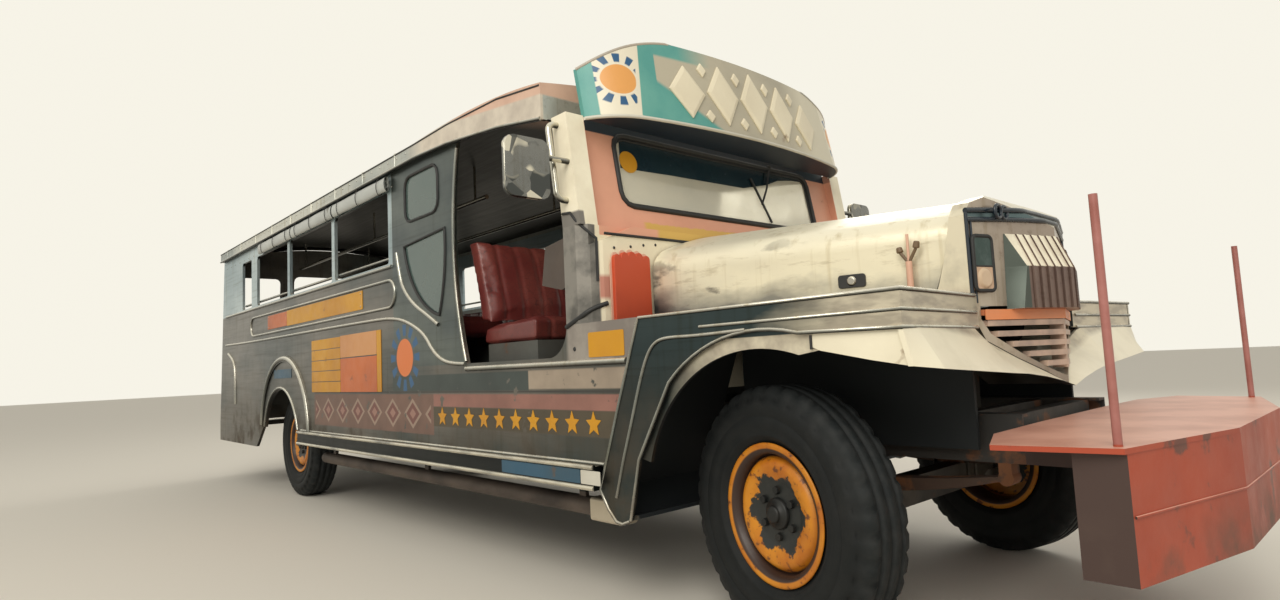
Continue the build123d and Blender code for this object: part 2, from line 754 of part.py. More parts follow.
# Front fenders: a deck and side band over the wheel, a box tail, and a valance that droops to the prow
fender_front = 500
fender_front_inner = 455
band_z = 912
deck_reach_in = 330
lip_drop = 55
lip_in = 12
deck_tail = fender_tail_top[0] + 1
fender_foot = [(-520, 330), (-590, 316), (-675, 420)]
valance_rows = [
    # half width, upper station and height, lower station and height
    (fender_outer, 500, 914, 522, 818),
    (850, 495, 914, 558, 808),
    (450, 460, 914, 562, 780),
    (352, 452, 872, 563, 774),
    (222, 488, 816, 566, 760),
    (100, 521, 770, 568, 742),
    (seat_gap, 549, 726, 570, 722),
]
wall_low = 560
with BuildPart() as fender_right:
    with BuildSketch(level(deck_z)):
        outline(
            (deck_tail, -fender_outer), (fender_front, -fender_outer), (fender_front_inner, -fender_inner),
            (hood_front - 90, -fender_inner), (hood_front - 90, -deck_reach_in), (deck_tail, -deck_reach_in),
        )
    extrude(amount=-fender_sheet)
    with BuildSketch(side(-fender_outer + fender_sheet)):
        with BuildLine():
            Line((fender_front, band_z), (200, band_z + 4))
            ThreePointArc((200, band_z + 4), (-140, 893), (-305, 790))
            Polyline(
                (-305, 790), (-465, 535), *fender_foot,
                (deck_tail, deck_z), (fender_front, deck_z), (fender_front, band_z),
            )
        make_face()
    extrude(amount=fender_sheet)
    with BuildSketch(level(band_z)):
        outline(
            (fender_front, -fender_outer), (fender_front_inner, -fender_inner),
            (fender_front_inner - fender_sheet, -fender_inner), (fender_front - fender_sheet, -fender_outer),
        )
    extrude(amount=deck_z - band_z)
    with BuildSketch(side(-fender_inner)):
        outline(
            *fender_foot[1:], (deck_tail, deck_z), (deck_tail + 16, deck_z - fender_sheet),
            (-655, 424), (-584, 330), (-526, 342), fender_foot[0],
        )
    extrude(amount=fender_outer - fender_inner)
    with BuildSketch(side(-fender_inner)):
        outline((-430, wall_low), (430, wall_low), (430, deck_z), (deck_tail + 4, deck_z))
    extrude(amount=fender_sheet)
    with BuildSketch(side(-fender_outer + lip_in + 12)):
        with BuildLine():
            Line((fender_front - 10, band_z + 10), (200, band_z + 10))
            ThreePointArc((200, band_z + 10), (-140, 903), (-311, 795))
            Line((-311, 795), (-470, 540))
            Line((-470, 540), (-420, 530))
            ThreePointArc((-420, 530), (-140, 845), (190, band_z - lip_drop))
            Line((190, band_z - lip_drop), (fender_front - 10, band_z - 10))
            Line((fender_front - 10, band_z - 10), (fender_front - 10, band_z + 10))
        make_face()
    extrude(amount=12)
    for row, after in zip(valance_rows, valance_rows[1:]):
        for half, upper, upper_z, lower, lower_z in (row, after):
            with BuildSketch(side(-half)):
                outline(
                    (upper, upper_z), (lower, lower_z),
                    (lower - fender_sheet, lower_z), (upper - fender_sheet, upper_z),
                )
        loft()
keep(fender_right, "fender_right")
with BuildPart() as fender_left:
    mirror(fender_right.part, about=Plane.XZ)
keep(fender_left, "fender_left")

# Front bumper: a steel prow with a broad top plate, side returns and two feeler poles
bumper_low = 350
bumper_high = 622
bumper_plan = [(front_reach - 110, -800), (front_reach, -310), (front_reach, 310), (front_reach - 110, 800)]
plate_back = nose + prow_rise + 10
with BuildPart() as front_bumper:
    with BuildSketch(level(bumper_low)):
        outline(*bumper_plan, (front_reach - 215, 800), (front_reach - 215, -800))
    extrude(amount=bumper_high - bumper_low)
    with BuildSketch(level(bumper_low - 10)):
        outline(
            (front_reach - 122, -788), (front_reach - 12, -306),
            (front_reach - 12, 306), (front_reach - 122, 788),
            (front_reach - 300, 788), (front_reach - 300, -788),
        )
    extrude(amount=bumper_high - bumper_low, mode=Mode.SUBTRACT)
    with BuildSketch(level(bumper_high)):
        outline(
            (front_reach - 110, -815), (front_reach, -315), (front_reach, 315), (front_reach - 110, 815),
            (plate_back + 90, 860), (plate_back + 10, 640), (plate_back, 300),
            (plate_back, -300), (plate_back + 10, -640), (plate_back + 90, -860),
        )
    extrude(amount=12)
    for across in (-1, 1):
        with BuildSketch(level(rail_low)):
            with Locations(((rail_front + seat_gap + front_reach - 40) / 2, across * rail_y)):
                Rectangle(front_reach - 40 - rail_front - seat_gap, rail_width)
        extrude(amount=bumper_high - rail_low)
        with BuildSketch(level(bumper_high + 12)):
            with Locations((front_reach - 130, across * 780)):
                Circle(9)
        extrude(amount=540)
keep(front_bumper, "front_bumper")

# Running boards: a box step with two bright beads, over a hanging side tube
board_out = 30
board_front = -640
board_back = rear_axle + 480
board_low = 416
board_high = 505
tube_z = 318
tube_y = 800
tube_radius = 36
with BuildPart() as running_boards:
    with BuildSketch(cross(board_back)):
        with Locations((-(body_half + board_out + body_half - 120) / 2, (board_low + skirt_z) / 2)):
            Rectangle(board_out + 120, skirt_z - board_low)
        for height in (board_low + 8, board_high - 8):
            with Locations((-body_half - board_out, height)):
                Circle(9)
    extrude(amount=board_front - board_back - 42)
    with BuildSketch(cross(board_back + 120)):
        with Locations((-tube_y, tube_z)):
            Circle(tube_radius)
    extrude(amount=board_front - board_back - 330)
    with BuildSketch(cross(board_front - 214)):
        with Locations((-tube_y, tube_z)):
            RectangleRounded(2.4 * tube_radius, 2.4 * tube_radius, 12)
    extrude(amount=170)
    for station in (board_back + 300, (board_back + board_front) / 2, board_front - 300):
        with BuildSketch(side(-tube_y + 4)):
            with Locations((station, (tube_z + board_low + 20) / 2)):
                Rectangle(40, board_low + 20 - tube_z)
        extrude(amount=16)
    for station in (board_back + 300, (board_back + board_front) / 2, board_front - 300):
        with BuildSketch(cross(station)):
            with Locations((-(body_half - 120 + rail_y + rail_width / 2) / 2, 545)):
                Rectangle(body_half - 120 - rail_y - rail_width / 2, 30)
            with Locations((-(body_half - 115), 505)):
                Rectangle(20, 110)
        extrude(amount=40)
    mirror(about=Plane.XZ)
keep(running_boards, "running_boards")

# Leaf springs: an arched pack under each rail end, with its hangers
spring_rows = [
    # axle station, half length, pack's lowest height
    (0, 480, spring_seat_z),
    (rear_axle, 560, tyre_radius + axle_tube),
]
leaf_pack = 44
leaf_end = 12
eye_low = rail_low - 50
with BuildPart() as leaf_springs:
    for station, half, low in spring_rows:
        with BuildSketch(side(-rail_y + spring_width / 2)):
            with BuildLine():
                ThreePointArc((station - half, eye_low), (station, low), (station + half, eye_low))
                Line((station + half, eye_low), (station + half, eye_low + leaf_end))
                ThreePointArc(
                    (station + half, eye_low + leaf_end), (station, low + leaf_pack),
                    (station - half, eye_low + leaf_end),
                )
                Line((station - half, eye_low + leaf_end), (station - half, eye_low))
            make_face()
            for end in (-1, 1):
                with Locations((station + end * half, rail_low - 44)):
                    Circle(22)
                with Locations((station + end * half, rail_low - 22)):
                    Rectangle(36, 44)
        extrude(amount=spring_width)
    mirror(about=Plane.XZ)
keep(leaf_springs, "leaf_springs")

# Front axle: a dropped beam whose ends carry the king pins
beam_z = tyre_radius - 40
pin_radius = 17
fork_height = 74
with BuildPart() as front_axle:
    with BuildSketch(cross(-38)):
        outline(
            (-king_pin_y, tyre_radius + fork_height / 2), (-king_pin_y, tyre_radius - fork_height / 2),
            (-king_pin_y + 55, tyre_radius - fork_height / 2), (-470, beam_z - 38),
            (470, beam_z - 38), (king_pin_y - 55, tyre_radius - fork_height / 2),
            (king_pin_y, tyre_radius - fork_height / 2), (king_pin_y, tyre_radius + fork_height / 2),
            (470, beam_z + 38), (rail_y + 60, spring_seat_z - seat_gap),
            (-rail_y - 60, spring_seat_z - seat_gap), (-470, beam_z + 38),
        )
    extrude(amount=76)
    for across in (-1, 1):
        with BuildSketch(level(tyre_radius - fork_height / 2)):
            with Locations((0, across * king_pin_y)):
                Circle(38)
        extrude(amount=fork_height)
        with BuildSketch(level(tyre_radius - 85)):
            with Locations((0, across * king_pin_y)):
                Circle(pin_radius)
        extrude(amount=170)
keep(front_axle, "front_axle")

# Rear axle: tube, differential housing and hub flanges
with BuildPart() as rear_axle_beam:
    with BuildSketch(side(half_track - 60)):
        with Locations((rear_axle, tyre_radius)):
            Circle(axle_tube)
    extrude(amount=2 * (half_track - 60))
    with BuildSketch(cross(rear_axle - 130)):
        with Locations((0, tyre_radius)):
            Circle(110)
    with BuildSketch(cross(rear_axle)):
        with Locations((0, tyre_radius)):
            Circle(165)
    with BuildSketch(cross(rear_axle + 130)):
        with Locations((0, tyre_radius)):
            Circle(90)
    loft()
    with BuildSketch(cross(rear_axle + 120)):
        with Locations((0, tyre_radius)):
            Circle(62)
    extrude(amount=50)
    for across in (-1, 1):
        with BuildSketch(side(across * (half_track - 60))):
            with Locations((rear_axle, tyre_radius)):
                Circle(hub_bore - 8)
        extrude(amount=-across * 120)
keep(rear_axle_beam, "rear_axle")


# Steered knuckles: a fork on the king pin, the stub axle and the steering arm behind
def steered(side_sign):
    turn = radians(steer_at_rest)
    return Plane(
        origin=(front_axle_x, side_sign * king_pin_y, tyre_radius),
        x_dir=(cos(turn), sin(turn), 0),
        z_dir=(0, 0, 1),
    )


arm_length = 150
fork_gap = 1
for side_sign, name in ((-1, "right"), (1, "left")):
    frame = steered(side_sign)
    with BuildPart() as knuckle:
        for low in (fork_height / 2 + fork_gap, -fork_height / 2 - fork_gap - 26):
            with BuildSketch(frame.offset(low)):
                Circle(40)
                with Locations((0, side_sign * 45)):
                    Rectangle(70, 60)
                Circle(pin_radius + 0.5, mode=Mode.SUBTRACT)
            extrude(amount=26)
        web_foot = frame.from_local_coords((0, side_sign * 50, 0))
        web = Plane(origin=web_foot, x_dir=frame.x_dir, z_dir=frame.y_dir * side_sign)
        with BuildSketch(web):
            RectangleRounded(76, fork_height + 2 * fork_gap + 50, 10)
        extrude(amount=26)
        with BuildSketch(web):
            Circle(hub_bore - 8)
        extrude(amount=half_track - king_pin_y - 50 + 60)
        with BuildSketch(frame.offset(-fork_height / 2 - fork_gap - 26)):
            outline(
                (0, side_sign * 36), (-arm_length, side_sign * 8),
                (-arm_length, -side_sign * 22), (-20, side_sign * 0.1),
            )
            Circle(pin_radius + 0.5, mode=Mode.SUBTRACT)
            with Locations((-arm_length, -side_sign * 8)):
                Circle(22)
        extrude(amount=18)
    keep(knuckle, f"knuckle_{name}")

# Tie rod: runs between the steering arms, under their eyes
rod_top = tyre_radius - fork_height / 2 - fork_gap - 26 - 0.5
arm_turn = radians(steer_at_rest)
rod_x = -arm_length * cos(arm_turn)
rod_shift = -arm_length * sin(arm_turn)
with BuildPart() as tie_rod:
    with BuildSketch(side(king_pin_y + rod_shift - 8)):
        with Locations((rod_x, rod_top - 16)):
            Circle(14)
    extrude(amount=2 * king_pin_y - 16)
    for side_sign in (-1, 1):
        with BuildSketch(level(rod_top)):
            with Locations((rod_x, rod_shift + side_sign * (king_pin_y - 8))):
                Circle(20)
        extrude(amount=-32)
keep(tie_rod, "tie_rod")

# Wheels: a dished steel disc in a flanged rim, and a plain-treaded tyre round it
rear_axle_x = front_axle_x + rear_axle
wheel_rows = [
    # name, plane with z along the spin axis, pointing outwards
    ("front_right", Plane(origin=steered(-1).from_local_coords((0, -(half_track - king_pin_y), 0)),
                          x_dir=steered(-1).x_dir, z_dir=-steered(-1).y_dir)),
    ("front_left", Plane(origin=steered(1).from_local_coords((0, half_track - king_pin_y, 0)),
                         x_dir=steered(1).x_dir, z_dir=steered(1).y_dir)),
    ("rear_right", Plane(origin=(rear_axle_x, -half_track, tyre_radius), x_dir=(1, 0, 0), z_dir=(0, -1, 0))),
    ("rear_left", Plane(origin=(rear_axle_x, half_track, tyre_radius), x_dir=(1, 0, 0), z_dir=(0, 1, 0))),
]
well = 6
rim_half = rim_width / 2
tyre_half = tyre_width / 2
bead_half = rim_half - 13
for name, wheel in wheel_rows:
    across = Plane(origin=wheel.origin, x_dir=wheel.x_dir, z_dir=-wheel.y_dir)
    with BuildPart() as rim:
        with BuildSketch(across):
            with BuildLine():
                Polyline(
                    (rim_radius - well, -rim_half + 12), (rim_flange, -rim_half + 12),
                    (rim_flange, -rim_half), (rim_radius - 2 * well, -rim_half),
                    (rim_radius - 2 * well, rim_half), (rim_flange, rim_half),
                    (rim_flange, rim_half - 12), (rim_radius - well, rim_half - 12), close=True,
                )
            make_face()
        revolve(axis=Axis(wheel.origin, wheel.z_dir))
        with BuildSketch(across):
            with BuildLine():
                Polyline(
                    (hub_bore, 34), (hub_radius + 30, 34), (rim_radius - 48, 50), (rim_radius - 12, 20),
                    (rim_radius - 12, 32), (rim_radius - 46, 62),
                    (hub_radius + 28, 46), (hub_bore, 46), close=True,
                )
            make_face()
        revolve(axis=Axis(wheel.origin, wheel.z_dir))
        with BuildSketch(wheel.offset(-38)):
            Circle(hub_radius)
            Circle(hub_bore - 8 + 0.5, mode=Mode.SUBTRACT)
        extrude(amount=108)
    keep(rim, f"rim_{name}")
    with BuildPart() as tyre:
        with BuildSketch(across):
            with BuildLine():
                Polyline(
                    (rim_flange + 1, -bead_half), (rim_flange + 30, -tyre_half + 6),
                    (tyre_radius - 70, -tyre_half),
                    (tyre_radius - 14, -tyre_half + 20), (tyre_radius, -tyre_half + 45),
                    (tyre_radius, tyre_half - 45), (tyre_radius - 14, tyre_half - 20),
                    (tyre_radius - 70, tyre_half), (rim_flange + 30, tyre_half - 6),
                    (rim_flange + 1, bead_half),
                    (rim_radius - well + 1, bead_half), (rim_radius - well + 1, -bead_half), close=True,
                )
            make_face()
        revolve(axis=Axis(wheel.origin, wheel.z_dir))
    keep(tyre, f"tyre_{name}")

# Dashboard, steering column and wheel on the left
wheel_y = 420
column_lean = 38
column_plane = Plane(
    origin=(front_axle_x - 1090, wheel_y, 1290),
    x_dir=(0, 1, 0),
    z_dir=(-cos(radians(column_lean)), 0, sin(radians(column_lean))),
)
dash_half = body_half - sheet - seat_gap
with BuildPart() as dashboard:
    with BuildSketch(side(dash_half)):
        outline(
            (firewall - 91, cowl_z - sheet - 0.5), (firewall - 300, cowl_z - sheet - 30),
            (firewall - 330, cowl_z - 200), (firewall - 200, cowl_z - 230), (firewall - 91, cowl_z - 200),
        )
    extrude(amount=2 * dash_half)
    with BuildSketch(column_plane.offset(-seat_gap - 40)):
        Circle(22)
    extrude(amount=-375)
keep(dashboard, "dashboard")
with BuildPart() as steering_wheel:
    with BuildSketch(Plane(origin=column_plane.origin, x_dir=column_plane.x_dir, z_dir=column_plane.y_dir)):
        with Locations((200, 0)):
            Circle(13)
    revolve(axis=Axis(column_plane.origin, column_plane.z_dir))
    with BuildSketch(column_plane.offset(-40)):
        Circle(34)
    extrude(amount=46)
    with BuildSketch(column_plane.offset(-8)):
        Rectangle(396, 26)
        Rectangle(26, 396)
    extrude(amount=10)
keep(steering_wheel, "steering_wheel")

# Seats: a bench across the cab on a box, and two long benches facing across the cabin
with BuildPart() as front_seat:
    with BuildSketch(side(seat_half)):
        outline(
            (-1620, seat_box_top + seat_gap), (-1180, seat_box_top + seat_gap), (-1165, 1080), (-1540, 1055),
            (-1665, 1500), (-1765, 1490), (-1650, 1040),
        )
    extrude(amount=2 * seat_half)
keep(front_seat, "front_seat")
with BuildPart() as benches:
    with BuildSketch(cross(bench_back)):
        outline(
            (-body_half + sheet + 2, bench_top + 280), (-body_half + sheet + 2, bench_top - 100),
            (-bench_in, bench_top - 100), (-bench_in, bench_top),
            (-body_half + sheet + 80, bench_top), (-body_half + sheet + 55, bench_top + 280),
        )
    extrude(amount=bench_front - bench_back)
    mirror(about=Plane.XZ)
keep(benches, "benches")


# Door mirrors on bent arms
mirror_y = body_half + 187
mirror_z = 1578
mirror_width = 186
mirror_height = 222
with BuildPart() as mirrors:
    with BuildSketch(cross(-815)):
        with Locations((-mirror_y, mirror_z)):
            RectangleRounded(mirror_width, mirror_height, 36)
    extrude(amount=26)
    with BuildSketch(side(-body_half - 0.1)):
        with Locations((-800, mirror_z + 50)):
            Circle(11)
    extrude(amount=mirror_y - body_half)
    mirror(about=Plane.XZ)
keep(mirrors, "mirrors")

# Rear step and its brackets
with BuildPart() as rear_step:
    with BuildSketch(level(440)):
        outline(
            (-rear_reach, -step_half), (-rear_reach, step_half),
            (body_rear + 40, step_half), (body_rear + 40, -step_half),
        )
    extrude(amount=40)
    with BuildSketch(side(rail_y + 20)):
        outline(
            (body_rear + 40, 440), (rail_back + 60, rail_low),
            (rail_back - seat_gap, rail_low), (body_rear + 40, 480),
        )
    extrude(amount=-40)
    mirror(about=Plane.XZ)
keep(rear_step, "rear_step")

# Handrails: tubes at the rear corners, on the windscreen posts and along the cabin's ceiling
grab_low = 760
grab_high = 1120
tube = 12
ceiling_rail_y = 300
ceiling_rail_z = 1905
ceiling_z = gutter_z + 179.6


def wall_at(height):
    return front_axle_x + body_rear + (height - skirt_z) * tan(wall_lean)


with BuildPart() as handrails:
    with BuildLine() as grab:
        FilletPolyline(
            (wall_at(grab_low - tube) - seat_gap, -wall_half + 60, grab_low),
            (front_axle_x + body_rear - 40, -wall_half + 60, grab_low),
            (front_axle_x + body_rear - 10, -wall_half + 60, grab_high),
            (wall_at(grab_high - tube) - seat_gap, -wall_half + 60, grab_high),
            radius=28,
        )
    with BuildSketch(Plane(origin=grab.line @ 0, z_dir=grab.line % 0)):
        Circle(tube)
    sweep()
    with BuildLine() as door_grab:
        FilletPolyline(
            (front_axle_x - 815, -body_half - seat_gap, 1480), (front_axle_x - 815, -body_half - 45, 1480),
            (front_axle_x - 862, -body_half - 45, 1785), (front_axle_x - 862, -body_half - seat_gap, 1785),
            radius=30,
        )
    with BuildSketch(Plane(origin=door_grab.line @ 0, z_dir=door_grab.line % 0)):
        Circle(tube)
    sweep(path=door_grab.line)
    with BuildSketch(cross(b_post - 60)):
        with Locations((-ceiling_rail_y, ceiling_rail_z)):
            Circle(tube + 2)
    extrude(amount=bench_back - b_post + 60)
    for station in (bench_back + 150, (bench_back + b_post) / 2, b_post - 200):
        with BuildSketch(level(ceiling_rail_z)):
            with Locations((station, -ceiling_rail_y)):
                Circle(tube - 4)
        extrude(amount=ceiling_z - ceiling_rail_z)
    mirror(about=Plane.XZ)
keep(handrails, "handrails")

# Fuel tank on the left, outside the rail
with BuildPart() as fuel_tank:
    with BuildSketch(cross(-2500)):
        with Locations((rail_y + rail_width / 2 + 150 + seat_gap, rail_low + 20)):
            RectangleRounded(300, 230, 50)
    extrude(amount=-700)
keep(fuel_tank, "fuel_tank")

# Rolled weather curtains under the gutter, one soft roll each side
with BuildPart() as curtain_rolls:
    with BuildSketch(cross(rear_axle - 450)):
        with Locations((-body_half - 21 - seat_gap, window_top_z + 40)):
            Ellipse(21, 48)
    extrude(amount=b_post - rear_axle + 450)
    mirror(about=Plane.XZ)
keep(curtain_rolls, "curtain_rolls")
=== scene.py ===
import json
import math

import bmesh
import bpy
from mathutils import Matrix, Vector


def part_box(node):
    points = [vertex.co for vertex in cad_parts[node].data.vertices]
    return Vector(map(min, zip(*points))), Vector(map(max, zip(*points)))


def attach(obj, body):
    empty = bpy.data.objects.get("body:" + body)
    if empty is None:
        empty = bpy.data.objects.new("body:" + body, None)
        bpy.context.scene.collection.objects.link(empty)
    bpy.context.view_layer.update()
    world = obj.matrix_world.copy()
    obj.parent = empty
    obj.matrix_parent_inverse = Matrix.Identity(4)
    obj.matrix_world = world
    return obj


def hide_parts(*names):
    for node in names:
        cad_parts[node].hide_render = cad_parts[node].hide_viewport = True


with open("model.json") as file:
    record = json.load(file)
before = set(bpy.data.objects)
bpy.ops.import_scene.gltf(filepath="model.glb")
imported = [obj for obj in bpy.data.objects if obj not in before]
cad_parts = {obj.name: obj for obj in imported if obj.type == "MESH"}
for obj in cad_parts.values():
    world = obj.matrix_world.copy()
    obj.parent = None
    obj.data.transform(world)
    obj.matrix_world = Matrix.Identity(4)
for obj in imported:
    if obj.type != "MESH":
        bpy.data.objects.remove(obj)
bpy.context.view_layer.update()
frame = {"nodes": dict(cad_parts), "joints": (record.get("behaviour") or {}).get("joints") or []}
axle_x = sum(corner.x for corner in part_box("front_axle")) / 2

# The camera stands low beside the right front wheel and looks across the nose
# towards the cabin, tilted a little up and rolled a little, as in the photograph.
scene = bpy.context.scene
scene.view_settings.view_transform = "Standard"
photo_width = 1280
focal_pixels = 728.354
standpoint = Vector((4.028, -2.559, 0.856))
heading, tilt, roll = 0.737, 0.086, -0.047
ahead = Vector((-math.cos(heading), math.sin(heading), 0))
right = Vector((math.sin(heading), math.cos(heading), 0))
up = Vector((0, 0, 1))
look = math.cos(tilt) * ahead + math.sin(tilt) * up
top = math.cos(tilt) * up - math.sin(tilt) * ahead
across = math.cos(roll) * right + math.sin(roll) * top
upright = math.cos(roll) * top - math.sin(roll) * right


def stand(name, data):
    made = bpy.data.objects.new(name, data)
    scene.collection.objects.link(made)
    return made


lens = bpy.data.cameras.new("photo_camera")
lens.sensor_width = 36
lens.lens = 36 * focal_pixels / photo_width
lens.clip_start = 0.05
scene.camera = stand("photo_camera", lens)
turned = Matrix((across, upright, -look)).transposed().to_4x4()
scene.camera.matrix_world = Matrix.Translation(standpoint) @ turned


# The studio is a pale plain floor under an even cream sky, with one broad soft lamp
# high on the right side and a weaker one over the far side. Every material is mixed in
# the node tree that lies open at the time, on the shader that belongs to it.
def feed(socket, value):
    if isinstance(value, bpy.types.NodeSocket):
        tree.links.new(value, socket)
    else:
        socket.default_value = (*value[:3], 1) if socket.type == "RGBA" else value


def node(kind, values=None, **settings):
    made = tree.nodes.new("ShaderNode" + kind)
    for key, value in settings.items():
        setattr(made, key, value)
    for key, value in (values or {}).items():
        feed(made.inputs[key], value)
    return made


def surface(**values):
    for name, value in values.items():
        feed(shader.inputs[name.replace("_", " ")], value)


def maths(work, *values):
    return node("Math", dict(enumerate(values)), operation=work).outputs[0]


def blank(name):
    global tree, shader
    material = bpy.data.materials.new(name)
    material.use_nodes = True
    tree = material.node_tree
    tree.nodes.clear()
    shader = node("BsdfPrincipled")
    node("OutputMaterial", {"Surface": shader.outputs[0]})
    return material


sky_light = (1.0, 0.965, 0.89)
floor_reach = 60
scene.world = bpy.data.worlds.new("even_sky")
scene.world.use_nodes = True
tree = scene.world.node_tree
tree.nodes.clear()
rays = node("LightPath").outputs
seen = maths("MAXIMUM", rays["Is Camera Ray"], rays["Is Glossy Ray"])
seen = maths("MAXIMUM", seen, rays["Is Transmission Ray"])
lit = node("Background", {"Color": sky_light, "Strength": 0.55})
shown = node("Background", {"Color": (0.93, 0.90, 0.80), "Strength": 1.0})
both = node("MixShader", {0: seen, 1: lit.outputs[0], 2: shown.outputs[0]})
node("OutputWorld", {"Surface": both.outputs[0]})

floor_mesh = bpy.data.meshes.new("studio_floor")
corners = [(u * floor_reach, v * floor_reach, 0) for u, v in ((-1, -1), (1, -1), (1, 1), (-1, 1))]
floor_mesh.from_pydata(corners, [], [(0, 1, 2, 3)])
floor_mesh.materials.append(blank("floor_cream"))
surface(Base_Color=(0.74, 0.70, 0.62), Roughness=0.8)
stand("studio_floor", floor_mesh)

lamp_size = 6.0
lamp_rows = [
    # name, place, aim, watts
    ("soft_right", (5.5, -7.0, 6.5), (0.5, 0, 1.0), 560),
    ("soft_far", (-3.0, 7.5, 6.0), (0, 0, 1.2), 260),
]
for name, place, aim, watts in lamp_rows:
    light = bpy.data.lights.new(name, "AREA")
    light.size = lamp_size
    light.energy = watts
    light.color = sky_light
    lamp = stand(name, light)
    lamp.location = place
    lamp.rotation_euler = (Vector(aim) - Vector(place)).to_track_quat("-Z", "Y").to_euler()


# Ladder frame, tank and rear step: folded steel painted black by hand, dulled by road
# grime and rusting through where stones have chipped it.
def mix(factor, first, second, blend="MIX"):
    return node("Mix", {0: factor, 6: first, 7: second}, data_type="RGBA", blend_type=blend).outputs[2]


def cloud(scale, detail=4.0, stretch=(1, 1, 1), roughness=0.55):
    spread = node("Mapping", {"Vector": node("TexCoord").outputs["Object"], "Scale": stretch})
    values = {"Vector": spread.outputs[0], "Scale": scale, "Detail": detail, "Roughness": roughness}
    return node("TexNoise", values).outputs["Fac"]


def between(value, low, high, first=0.0, last=1.0):
    values = {"Value": value, "From Min": low, "From Max": high, "To Min": first, "To Max": last}
    return node("MapRange", values).outputs[0]


def dent(height, strength, depth, **under):
    bump = node("Bump", {"Height": height, "Strength": strength, "Distance": depth, **under}).outputs[0]
    surface(Normal=bump)
    return bump


def grimed_paint(name, colour, grime, rust, roughness=0.6, rust_share=0.62, metal=0.0):
    material = blank(name)
    tone = mix(between(cloud(2.2, 5), 0.40, 0.65), colour, grime)
    tone = mix(between(cloud(8.8, 6), rust_share, rust_share + 0.06), tone, rust)
    rough = between(cloud(14), 0, 1, roughness - 0.12, roughness + 0.2)
    surface(Base_Color=tone, Roughness=rough, Metallic=metal)
    dent(cloud(60, 5), 0.3, 0.0015)
    return material


def dress(material, *names):
    for name in names:
        slots = frame["nodes"][name].data.materials
        slots.clear()
        slots.append(material)


frame_black = grimed_paint(
    "frame_black", (0.022, 0.021, 0.020), (0.055, 0.046, 0.038), (0.13, 0.055, 0.025), rust_share=0.58)
dress(frame_black, "chassis_frame", "fuel_tank", "rear_step")


# Engine, gearbox, axles and knuckles: cast iron and forged steel under oily dust, bolted
# to the frame and to the springs.
oily_iron = grimed_paint(
    "oily_iron", (0.045, 0.042, 0.038), (0.095, 0.082, 0.065), (0.10, 0.050, 0.028), 0.5, 0.64, 0.3)
dress(oily_iron, "engine_block", "driveline", "front_axle", "rear_axle")
dress(oily_iron, "knuckle_left", "knuckle_right", "tie_rod")


# Leaf springs: packs of bare spring steel, rusted all over, held to the axles by two
# U-bolts on each pack.
def at(station, across, height):
    return Vector((axle_x + station, across, height))


def fix(piece, material, body="vehicle", bevel=0, steps=2):
    if bevel:
        edge = piece.modifiers.new("rounded_edges", "BEVEL")
        edge.width = bevel
        edge.segments = steps
        edge.limit_method = "ANGLE"
        edge.angle_limit = 0.6
    piece.data.materials.append(material)
    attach(piece, body)
    return piece


def rod(name, points, radius, material, loop=False, smooth=False, body="vehicle"):
    curve = bpy.data.curves.new(name, "CURVE")
    curve.dimensions = "3D"
    curve.bevel_depth = radius
    curve.bevel_resolution = 3
    curve.use_fill_caps = True
    line = curve.splines.new("NURBS" if smooth else "POLY")
    line.points.add(len(points) - 1)
    for knot, place in zip(line.points, points):
        knot.co = (*place, 1)
    line.use_cyclic_u = loop
    if smooth:
        line.order_u = 3
        line.use_endpoint_u = not loop
        line.resolution_u = 8
    fix(stand(name, curve), material, body)


spring_rust = grimed_paint(
    "spring_rust", (0.085, 0.048, 0.032), (0.06, 0.045, 0.036), (0.19, 0.08, 0.035), 0.75, 0.5, 0.2)
dress(spring_rust, "leaf_springs")
sides = ((-1, "right"), (1, "left"))
spring_y = 0.340
spring_half = 0.034
bolt_low = 0.322
rear_axle_station = -4.400
for axle, station, high in (("front", 0.0, 0.462), ("rear", rear_axle_station, 0.494)):
    legs = ((-spring_half, bolt_low), (-spring_half, high), (spring_half, high), (spring_half, bolt_low))
    for hand, side in sides:
        for order, offset in enumerate((-0.066, 0.066)):
            bolt = [at(station + offset, hand * spring_y + y, z) for y, z in legs]
            rod(f"spring_bolt_{axle}_{side}_{order + 1}", bolt, 0.006, oily_iron)


# Floor: a steel plate on cross bearers, painted grey-green inside, with the wheelhouses and
# the boxes that carry the seats.
floor_grey = grimed_paint(
    "floor_grey", (0.10, 0.105, 0.095), (0.060, 0.053, 0.045), (0.12, 0.055, 0.03), 0.65, 0.63)
dress(floor_grey, "floor_pan")


# Side panels: bare stainless sheet over steel tube, with the road's reflection painted into
# it in dull teal and brown. The painted bands along the skirt are worn, and mud covers what
# is lowest.
def spot(kind="Object"):
    return node("SeparateXYZ", {"Vector": node("TexCoord").outputs[kind]}).outputs


def facing(axis):
    return spot("Normal")[axis]


def whereabouts():
    x, y, z = spot()
    return maths("SUBTRACT", x, axle_x), maths("ABSOLUTE", y), z


def times(*masks):
    result = masks[0]
    for mask in masks[1:]:
        result = maths("MULTIPLY", result, mask)
    return result


def strip(value, low, high, soft=0.003):
    return times(between(value, low - soft, low + soft), between(value, high + soft, high - soft))


def patchy(first, second, scale, low, high, detail=4.0, stretch=(1, 1, 1)):
    return mix(between(cloud(scale, detail, stretch), low, high), first, second)


